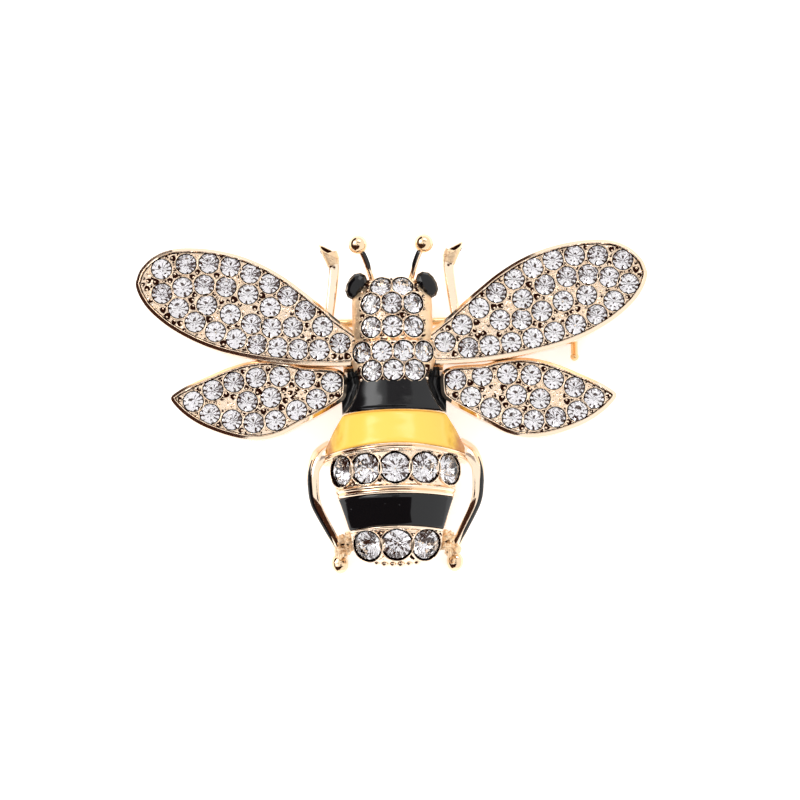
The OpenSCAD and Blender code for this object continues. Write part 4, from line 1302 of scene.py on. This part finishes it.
def layer(name, top, under, angle):
    """A closed layer between two grids of points: rows, columns, coordinates."""
    rows, columns = top.shape[:2]
    count = rows * columns
    edge = ([*range(columns)] + [r * columns + columns - 1 for r in range(1, rows)]
            + [(rows - 1) * columns + c for c in range(columns - 2, -1, -1)]
            + [r * columns for r in range(rows - 2, 0, -1)])
    faces = grid_faces(rows, columns) + [tuple(reversed(f)) for f in grid_faces(rows, columns, count)]
    faces += [(a, b, count + b, count + a) for a, b in zip(edge, edge[1:] + edge[:1])]
    verts = [tuple(p) for p in np.concatenate([top.reshape(-1, 3), under.reshape(-1, 3)])]
    return outward(make_object(name, verts, faces, angle=angle))


def enamel_band(name, band):
    """A fired band on the dome with a rolled edge, down to the floor of its trough."""
    enamel = settings().enamel
    roll, drop = mm(enamel.roll), mm(enamel.meniscus)
    axis, length = mm(settings().body.axis), mm(settings().body.length)
    rows, columns, deep = 40, 110, 0.3
    start, end = band[0] - 0.0005, band[1] + 0.0005
    shares = np.linspace(-1, 1, columns)
    shares = np.sign(shares) * (1 - (1 - np.abs(shares)) ** 1.6)
    verts = []
    for u in (1 - np.cos(np.linspace(0, math.pi, rows))) / 2:
        at = start + (end - start) * u
        r = dome_radius(at)
        most = math.asin(min(0.999, (half_width(at) - 0.02) / r))
        near_end = min(u, 1 - u) * (end - start) * length
        for w in shares:
            angle = w * most
            near = min(near_end, (1 - abs(w)) * most * r)
            fall = drop * (1 - math.sqrt(max(0.0, 1 - (1 - near / roll) ** 2))) if near < roll else 0.0
            wave = 0.012 * noise.noise(Vector((angle * 3.1, at * 40.0, 2.7)))
            high = r - fall + wave * min(1.0, near / roll)
            x = high * math.sin(angle)
            verts.append((x, along(at) - float(bow(at, x)), axis + high * math.cos(angle)))
    top = np.array(verts).reshape(rows, columns, 3)
    out = (top - np.array([0, 0, axis])) * np.array([1, 0, 1])
    return layer(name, top, top - out / np.linalg.norm(out, axis=2)[..., None] * deep, 50)


def thorax_enamel():
    """Black enamel that flows over the thorax and down over the webs to the hindwings."""
    wings = settings().wings
    level = mm(wings.hind_z) + mm(wings.plate) - mm(wings.rim_height)
    rows, columns, deep = 60, 121, 0.45
    front, back = 3.55, along(BLACK_THORAX[1]) + 0.02
    verts = []
    for u in (1 - np.cos(np.linspace(0, math.pi, rows))) / 2:
        y = front + (back - front) * u
        at = share_of(y)
        r, w = dome_radius(at), half_width(at)
        reach = max(5.15 - 0.1 * u, w - 0.03) if y < 2.6 else 4.5
        gap = min(u, 1 - u) * (front - back)
        for v in np.linspace(-1, 1, columns):
            x = v * reach
            dome = mm(settings().body.axis) + math.sqrt(max(r * r - x * x, 0.0))
            fall = step(abs(x), w - 0.5, w + 0.3)
            z = dome * (1 - fall) + (level - 0.3) * fall + 0.36 * step(abs(x), w + 0.4, w + 1.2)
            z += 0.09 * step(abs(x), w - 0.35, w + 0.1) * noise.noise(Vector((x * 1.5, y * 1.5, 3.3)))
            z -= 0.1 * (1 - step(gap, 0.0, 0.35))
            z += 0.02 * noise.noise(Vector((x * 0.9, y * 0.9, 5.1)))
            verts.append((x, y, z))
    points = np.array(verts)
    for centre, axis, radius in seats_of(*STONE_NODES["thorax"]):
        off = points - centre
        wide = np.linalg.norm(off - (off @ axis)[:, None] * axis, axis=1)
        points[wide < radius * HOLE] -= axis * radius * 1.1
    top = points.reshape(rows, columns, 3)
    return layer("thorax_enamel", top, top - np.array([0, 0, deep]), 55)


class OBJECT_OT_brooch_enamel(bpy.types.Operator):
    """Builds the black and yellow enamel, and the gold webs under it"""
    bl_idname = "object.brooch_enamel"
    bl_label = "Enamel"

    def execute(self, context):
        settle(thorax_enamel(), "thorax", ["enamel_thorax"])
        settle(enamel_band("yellow_band", YELLOW), "yellow", ["enamel_yellow_band"])
        settle(enamel_band("black_band", BLACK_BELLY), "black", ["enamel_black_band"])
        top, low = mm(settings().wings.hind_z) + 0.75, mm(settings().body.rim) + 0.1
        back = along(BLACK_THORAX[1])
        web = [(-4.9, back), (-4.9, 4.0), (4.9, 4.0), (4.9, back)]
        settle_cast(plate("wing_web", web, [], top - low, moved(0, 0, (top + low) / 2), 0.12), "polished")
        return {"FINISHED"}


class OBJECT_OT_brooch_stones(bpy.types.Operator):
    """Sets every round stone in its seat"""
    bl_idname = "object.brooch_stones"
    bl_label = "Round stones"

    def execute(self, context):
        stones = settings().stones
        small = stone_shape("small stone", stones.small_facets, stones.edge, 0.6, 0.22, 0.895, 0.22, 0.0)
        large = stone_shape("large stone", stones.large_facets, stones.edge, 0.56, 0.24, 0.9, 0.24, 0.018)
        fields = [(name, [node], small) for name, (_, node) in WINGS.items()]
        fields += [(group, names, small if group in SMALL_GROUPS else large)
                   for group, names in STONE_NODES.items()]
        for k, (name, nodes, shape) in enumerate(fields):
            piece = set_on(name + "_stones", grown(seats_of(*nodes)), shape, "crystal", "foil",
                           lean=stones.lean, seed=SEED + 1 + k)
            settle(piece, None, nodes)
        remove_shape(small)
        remove_shape(large)
        return {"FINISHED"}


def eye_part(name, matrix, rings, **shading):
    """A shape of long oval rings of twelve sides with cut ends: each its length, width and height."""
    quarter = [(0.5, 0.14), (0.35, 0.4), (0.13, 0.5)]
    loop = quarter + [(-x, y) for x, y in reversed(quarter)]
    loop += [(-x, -y) for x, y in quarter] + [(x, -y) for x, y in reversed(quarter)]
    verts = [matrix @ Vector((x * length, y * width, z)) for length, width, z in rings for x, y in loop]
    return outward(make_object(name, verts, tube_faces(len(rings), len(loop)), **shading))


class OBJECT_OT_brooch_eyes(bpy.types.Operator):
    """Sets the two black eyes in their cups"""
    bl_idname = "object.brooch_eyes"
    bl_label = "Eyes"

    def execute(self, context):
        length, width = mm(settings().stones.eye_length), mm(settings().stones.eye_width)
        stone = [(0.35, 0.35, -0.72), (1.0, 1.0, -0.12), (1.0, 1.0, 0.0), (0.86, 0.8, 0.3), (0.6, 0.46, 0.5)]
        cup = [(0.0, -1.88), (0.05, -1.0), (0.075, -0.3), (0.07, -0.16), (0.05, -0.1), (0.03, -0.12),
               (0.02, -0.2), (0.02, -0.85)]
        for side, word in SIDES:
            matrix = (Matrix.Translation((3.45, along(0.046) + 0.27, 6.05))
                      @ Matrix.Rotation(math.radians(-60), 4, "Z")
                      @ Matrix.Rotation(math.radians(14), 4, "Y"))
            if side < 0:
                matrix = MIRROR @ matrix
            piece = eye_part("eye_stone_" + word, matrix, [(length * a, width * b, z) for a, b, z in stone],
                             smooth=False)
            settle(piece, "eye", ["eye_" + word])
            rings = [(length + 2 * grow, width + 2 * grow, z) for grow, z in cup]
            settle_cast(eye_part("eye_cup_" + word, matrix, rings, angle=25), "polished")
        return {"FINISHED"}


def arc(radius, start, end, count=24):
    """Points on an arc between two angles in degrees."""
    return [(radius * math.cos(math.radians(a)), radius * math.sin(math.radians(a)))
            for a in np.linspace(start, end, count)]


def hinge_ears(x, y, z, top):
    """The two ears of the hinge with their bridge, and the rivet's heads on the ears."""
    finding = settings().finding
    ear, edge = mm(finding.ear), mm(finding.edge)
    half = mm(finding.eye) / 2 + 0.05
    outline = [(-z, top)] + arc(z, 180, 360) + [(z, top)]
    parts, heads = [], []
    profile = [(0.0, 0.17), (0.2, 0.16), (0.38, 0.12), (0.5, 0.05), (0.54, 0.0), (0.5, -0.02)]
    sides = 24
    for s in (-1, 1):
        place = moved(x, y + s * (half + ear / 2), z) @ Matrix.Rotation(math.pi / 2, 4, "X")
        parts.append(plate("ear", outline, [arc(0.43, 0, 345, 24)], ear, place, edge))
        verts, faces = turned(profile, sides)
        place = Matrix.Translation((x, y + s * (half + ear), z)) @ Matrix.Rotation(-s * math.pi / 2, 4, "X")
        heads.append(outward(make_object("head", [place @ Vector(v) for v in verts],
                                         faces + [tuple(range(len(verts) - sides, len(verts)))])))
    block = [(-z, -half - ear), (z, -half - ear), (z, half + ear), (-z, half + ear)]
    parts.append(plate("bridge", block, [], top - z, moved(x, y, z + (top + z) / 2), edge))
    settle_cast(join("hinge_ears", parts), "polished")
    settle(join("rivet_heads", heads), "wire", [])


def catch_housing(x, y, z, top):
    """The catch's two cheeks, each with a slot for the pin, and the roof over its turning sleeve."""
    finding = settings().finding
    ear = mm(finding.ear)
    inner = mm(finding.sleeve) + 0.1
    slot = mm(finding.wire) / 2 + 0.075
    standing = Matrix(((0, 0, 1, 0), (1, 0, 0, 0), (0, 1, 0, 0), (0, 0, 0, 1)))
    low = math.degrees(math.acos(slot / z))
    cheek = ([(-z, top)] + arc(z, 180, 180 + low) + [(-slot, 0)] + arc(slot, 180, 0, 13)[1:-1]
             + [(slot, 0)] + arc(z, 360 - low, 360) + [(z, top)])
    parts = [plate("cheek", cheek, [], ear, moved(x + s * (inner + ear) / 2, y, z) @ standing,
                   mm(finding.edge)) for s in (-1, 1)]
    bore = 0.95
    front = 180 - math.degrees(math.asin(0.35 / bore))
    lip, outer = (-math.degrees(math.asin(0.42 / radius)) for radius in (bore, z))
    roof = [(-z, top), (-z, 0.35)] + arc(bore, front, lip, 28) + arc(z, outer, 0, 6) + [(z, top)]
    parts.append(plate("roof", roof, [], inner + 0.2, moved(x, y, z) @ standing, 0.04))
    settle_cast(join("catch_housing", parts), "polished")


class OBJECT_OT_brooch_finding(bpy.types.Operator):
    """Dresses the hinge, the pin wire and the turning catch"""
    bl_idname = "object.brooch_finding"
    bl_label = "Pin finding"

    def execute(self, context):
        finding = settings().finding
        half, y, z = mm(finding.span) / 2, mm(finding.along), mm(finding.height)
        top = mm(settings().wings.fore_z) + 0.3 - z
        hinge_ears(0.6 - half, y, z, top)
        catch_housing(0.6 + half, y, z, top)
        for name in ("pin_stem", "hinge_rivet", "catch_lever"):
            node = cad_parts[name]
            node.data.materials.clear()
            node.data.materials.append(finish_of("wire"))
            for polygon in node.data.polygons:
                polygon.use_smooth = True
            weld = node.modifiers.new("Weld", "WELD")
            weld.merge_threshold = 1e-6
            soft = node.modifiers.new("Edge", "BEVEL")
            soft.width = (0.05 if name != "pin_stem" else 0.03) * METRE
            soft.segments = 2
            soft.limit_method = "ANGLE"
            soft.angle_limit = math.radians(40)
            soft.harden_normals = True
        return {"FINISHED"}


def seen_in_ball(a, b, far):
    """The point, at a distance, that the camera sees at this place of a mirror ball's disc."""
    up = settings().stage.tilt
    view = np.array([0, -math.cos(up), math.sin(up)])
    above = np.array([0, math.sin(up), math.cos(up)])
    normal = np.array([a, 0, 0]) + b * above + math.sqrt(1 - a * a - b * b) * view
    return far * (2 * (normal @ view) * normal - view)


def white_sheet():
    """The floor: a matt white acrylic sheet with a faint fibre, lit a little from below."""
    stage, size = settings().stage, 3000
    floor = make_object("sheet", [(-size, -size, 0), (size, -size, 0), (size, size, 0), (-size, size, 0)],
                        [(0, 1, 2, 3)], smooth=False)
    material, tree, main, where = fresh_material("matt white sheet", **{
        "Base Color": stage.floor, "Roughness": 0.9, "Specular IOR Level": 0.2,
        "Emission Color": stage.floor, "Emission Strength": stage.lit})
    fibre = shader_node(tree, "ShaderNodeTexNoise", {"Vector": where, "Scale": per_mm(1.2), "Detail": 4.0})
    relief = shader_node(tree, "ShaderNodeBump", {
        "Height": fibre.outputs["Fac"], "Strength": 0.3, "Distance": 0.02 * METRE})
    tree.links.new(relief.outputs["Normal"], main.inputs["Normal"])
    floor.data.materials.append(material)
    return floor


def flags():
    """Cards that only the polished metal and the stones see: black flags round the set below the lights,
    a black hood over its tail side, a grey card over its head side, and the hood of the lens."""
    tilt = settings().stage.tilt
    turns = np.radians(np.linspace(104, 252, 37))
    verts = [(420 * math.cos(a), 420 * math.sin(a), z) for z in (2, 235) for a in turns]
    ring = make_object("black_flags", verts, grid_faces(2, len(turns)), smooth=False)
    corners = [(0.2, -0.085), (-0.15, -0.055), (-0.46, -0.02), (-0.6, -0.2), (-0.5, -0.42), (-0.25, -0.52),
               (0.02, -0.46), (0.2, -0.25), (-0.2, -0.25)]
    hood = make_object("black_hood", [seen_in_ball(a, b, 640) for a, b in corners],
                       [(k, (k + 1) % 8, 8) for k in range(8)], smooth=False)
    card = make_object("grey_card", [(-105, 110, 462), (290, 110, 462), (290, 262, 462), (-105, 262, 462)],
                       [(0, 1, 2, 3)], smooth=False)
    eye = AIM + 420 * Vector((0, -math.cos(tilt), math.sin(tilt)))
    verts, faces = turned([(0.0, 0.0), (50.0, 0.0)], 32)
    lens_hood = make_object("lens_hood", [eye + Vector(v) for v in verts], faces, smooth=False)
    felt, grey = (fresh_material(name, **{"Base Color": tone, "Roughness": 1.0, "Specular IOR Level": 0.0})[0]
                  for name, tone in (("black felt", (0.034, 0.014, 0.009, 1)),
                                     ("grey card", (0.255, 0.235, 0.24, 1))))
    for flag, coat in ((ring, felt), (hood, felt), (card, grey), (lens_hood, felt)):
        flag.data.materials.append(coat)
        flag.visible_camera = flag.visible_diffuse = flag.visible_shadow = False
    return ring, hood, card, lens_hood


def soft_light(name, place, wide, high, watts):
    """A soft box that faces the brooch."""
    lamp = bpy.data.lights.new(name, "AREA")
    lamp.shape = "RECTANGLE"
    lamp.size, lamp.size_y, lamp.energy = wide, high, watts
    obj = linked(name, lamp)
    obj.location = place
    obj.rotation_euler = (-Vector(place)).to_track_quat("-Z", "Y").to_euler()


def picture_camera():
    """The camera at the photograph's angle, with the picture's width at the brooch."""
    stage = settings().stage
    camera = bpy.data.cameras.new("camera")
    camera.lens = stage.lens
    camera.sensor_width = SENSOR
    camera.clip_start, camera.clip_end = 0.01, 20
    obj = linked("camera", camera)
    away = Vector((0, -math.cos(stage.tilt), math.sin(stage.tilt)))
    obj.location = AIM * METRE + away * (stage.across * stage.lens / SENSOR)
    obj.rotation_mode = "QUATERNION"
    obj.rotation_quaternion = ((-away).to_track_quat("-Z", "Y")
                               @ Matrix.Rotation(-stage.roll, 3, "Z").to_quaternion())
    return obj


class OBJECT_OT_brooch_stage(bpy.types.Operator):
    """Lays the white sheet and sets the lights and the camera"""
    bl_idname = "object.brooch_stage"
    bl_label = "Stage"

    def execute(self, context):
        scene = context.scene
        scene.view_settings.view_transform = "Standard"
        scene.view_settings.look = "None"
        white_sheet()
        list(flags())
        world = bpy.data.worlds.new("studio")
        scene.world = world
        world.use_nodes = True
        world.node_tree.nodes.clear()
        tent = shader_node(world.node_tree, "ShaderNodeBackground",
                           {"Color": (1, 1, 1, 1), "Strength": settings().stage.tent})
        shader_node(world.node_tree, "ShaderNodeOutputWorld", {"Surface": tent.outputs["Background"]})
        soft_light("left box", (-0.46, 0.24, 0.52), 0.34, 0.3, 1.3)
        soft_light("back box", (0.2, 0.5, 0.55), 0.4, 0.2, 0.8)
        scene.camera = picture_camera()
        return {"FINISHED"}


class VIEW3D_PT_brooch(bpy.types.Panel):
    """Lists the brooch's pieces"""
    bl_idname = "VIEW3D_PT_brooch"
    bl_label = "Bee brooch"
    bl_space_type = "VIEW_3D"
    bl_region_type = "UI"
    bl_category = "Brooch"

    def draw(self, context):
        for item in STEPS:
            self.layout.operator(item.bl_idname)
        for group in BroochSettings.__annotations__:
            data = getattr(settings(), group)
            box = self.layout.box()
            box.label(text=group.capitalize())
            for name in data.__annotations__:
                box.prop(data, name)


GROUPS = (BroochMetal, BroochStones, BroochEnamel, BroochBody, BroochWings, BroochLimbs, BroochFinding,
          BroochStage, BroochSettings)
STEPS = (OBJECT_OT_brooch_body, OBJECT_OT_brooch_wings, OBJECT_OT_brooch_limbs, OBJECT_OT_brooch_enamel,
         OBJECT_OT_brooch_stones, OBJECT_OT_brooch_eyes, OBJECT_OT_brooch_finding, OBJECT_OT_brooch_stage)


def register():
    for item in GROUPS + STEPS + (VIEW3D_PT_brooch,):
        bpy.utils.register_class(item)
    bpy.types.Scene.bee_brooch = bpy.props.PointerProperty(type=BroochSettings)


def unregister():
    del bpy.types.Scene.bee_brooch
    for item in reversed(GROUPS + STEPS + (VIEW3D_PT_brooch,)):
        bpy.utils.unregister_class(item)


def main():
    register()
    for item in STEPS:
        group, name = item.bl_idname.split(".")
        if getattr(getattr(bpy.ops, group), name)() != {"FINISHED"}:
            raise RuntimeError(f"{item.bl_label} did not finish")
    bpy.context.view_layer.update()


if __name__ == "__main__":
    main()
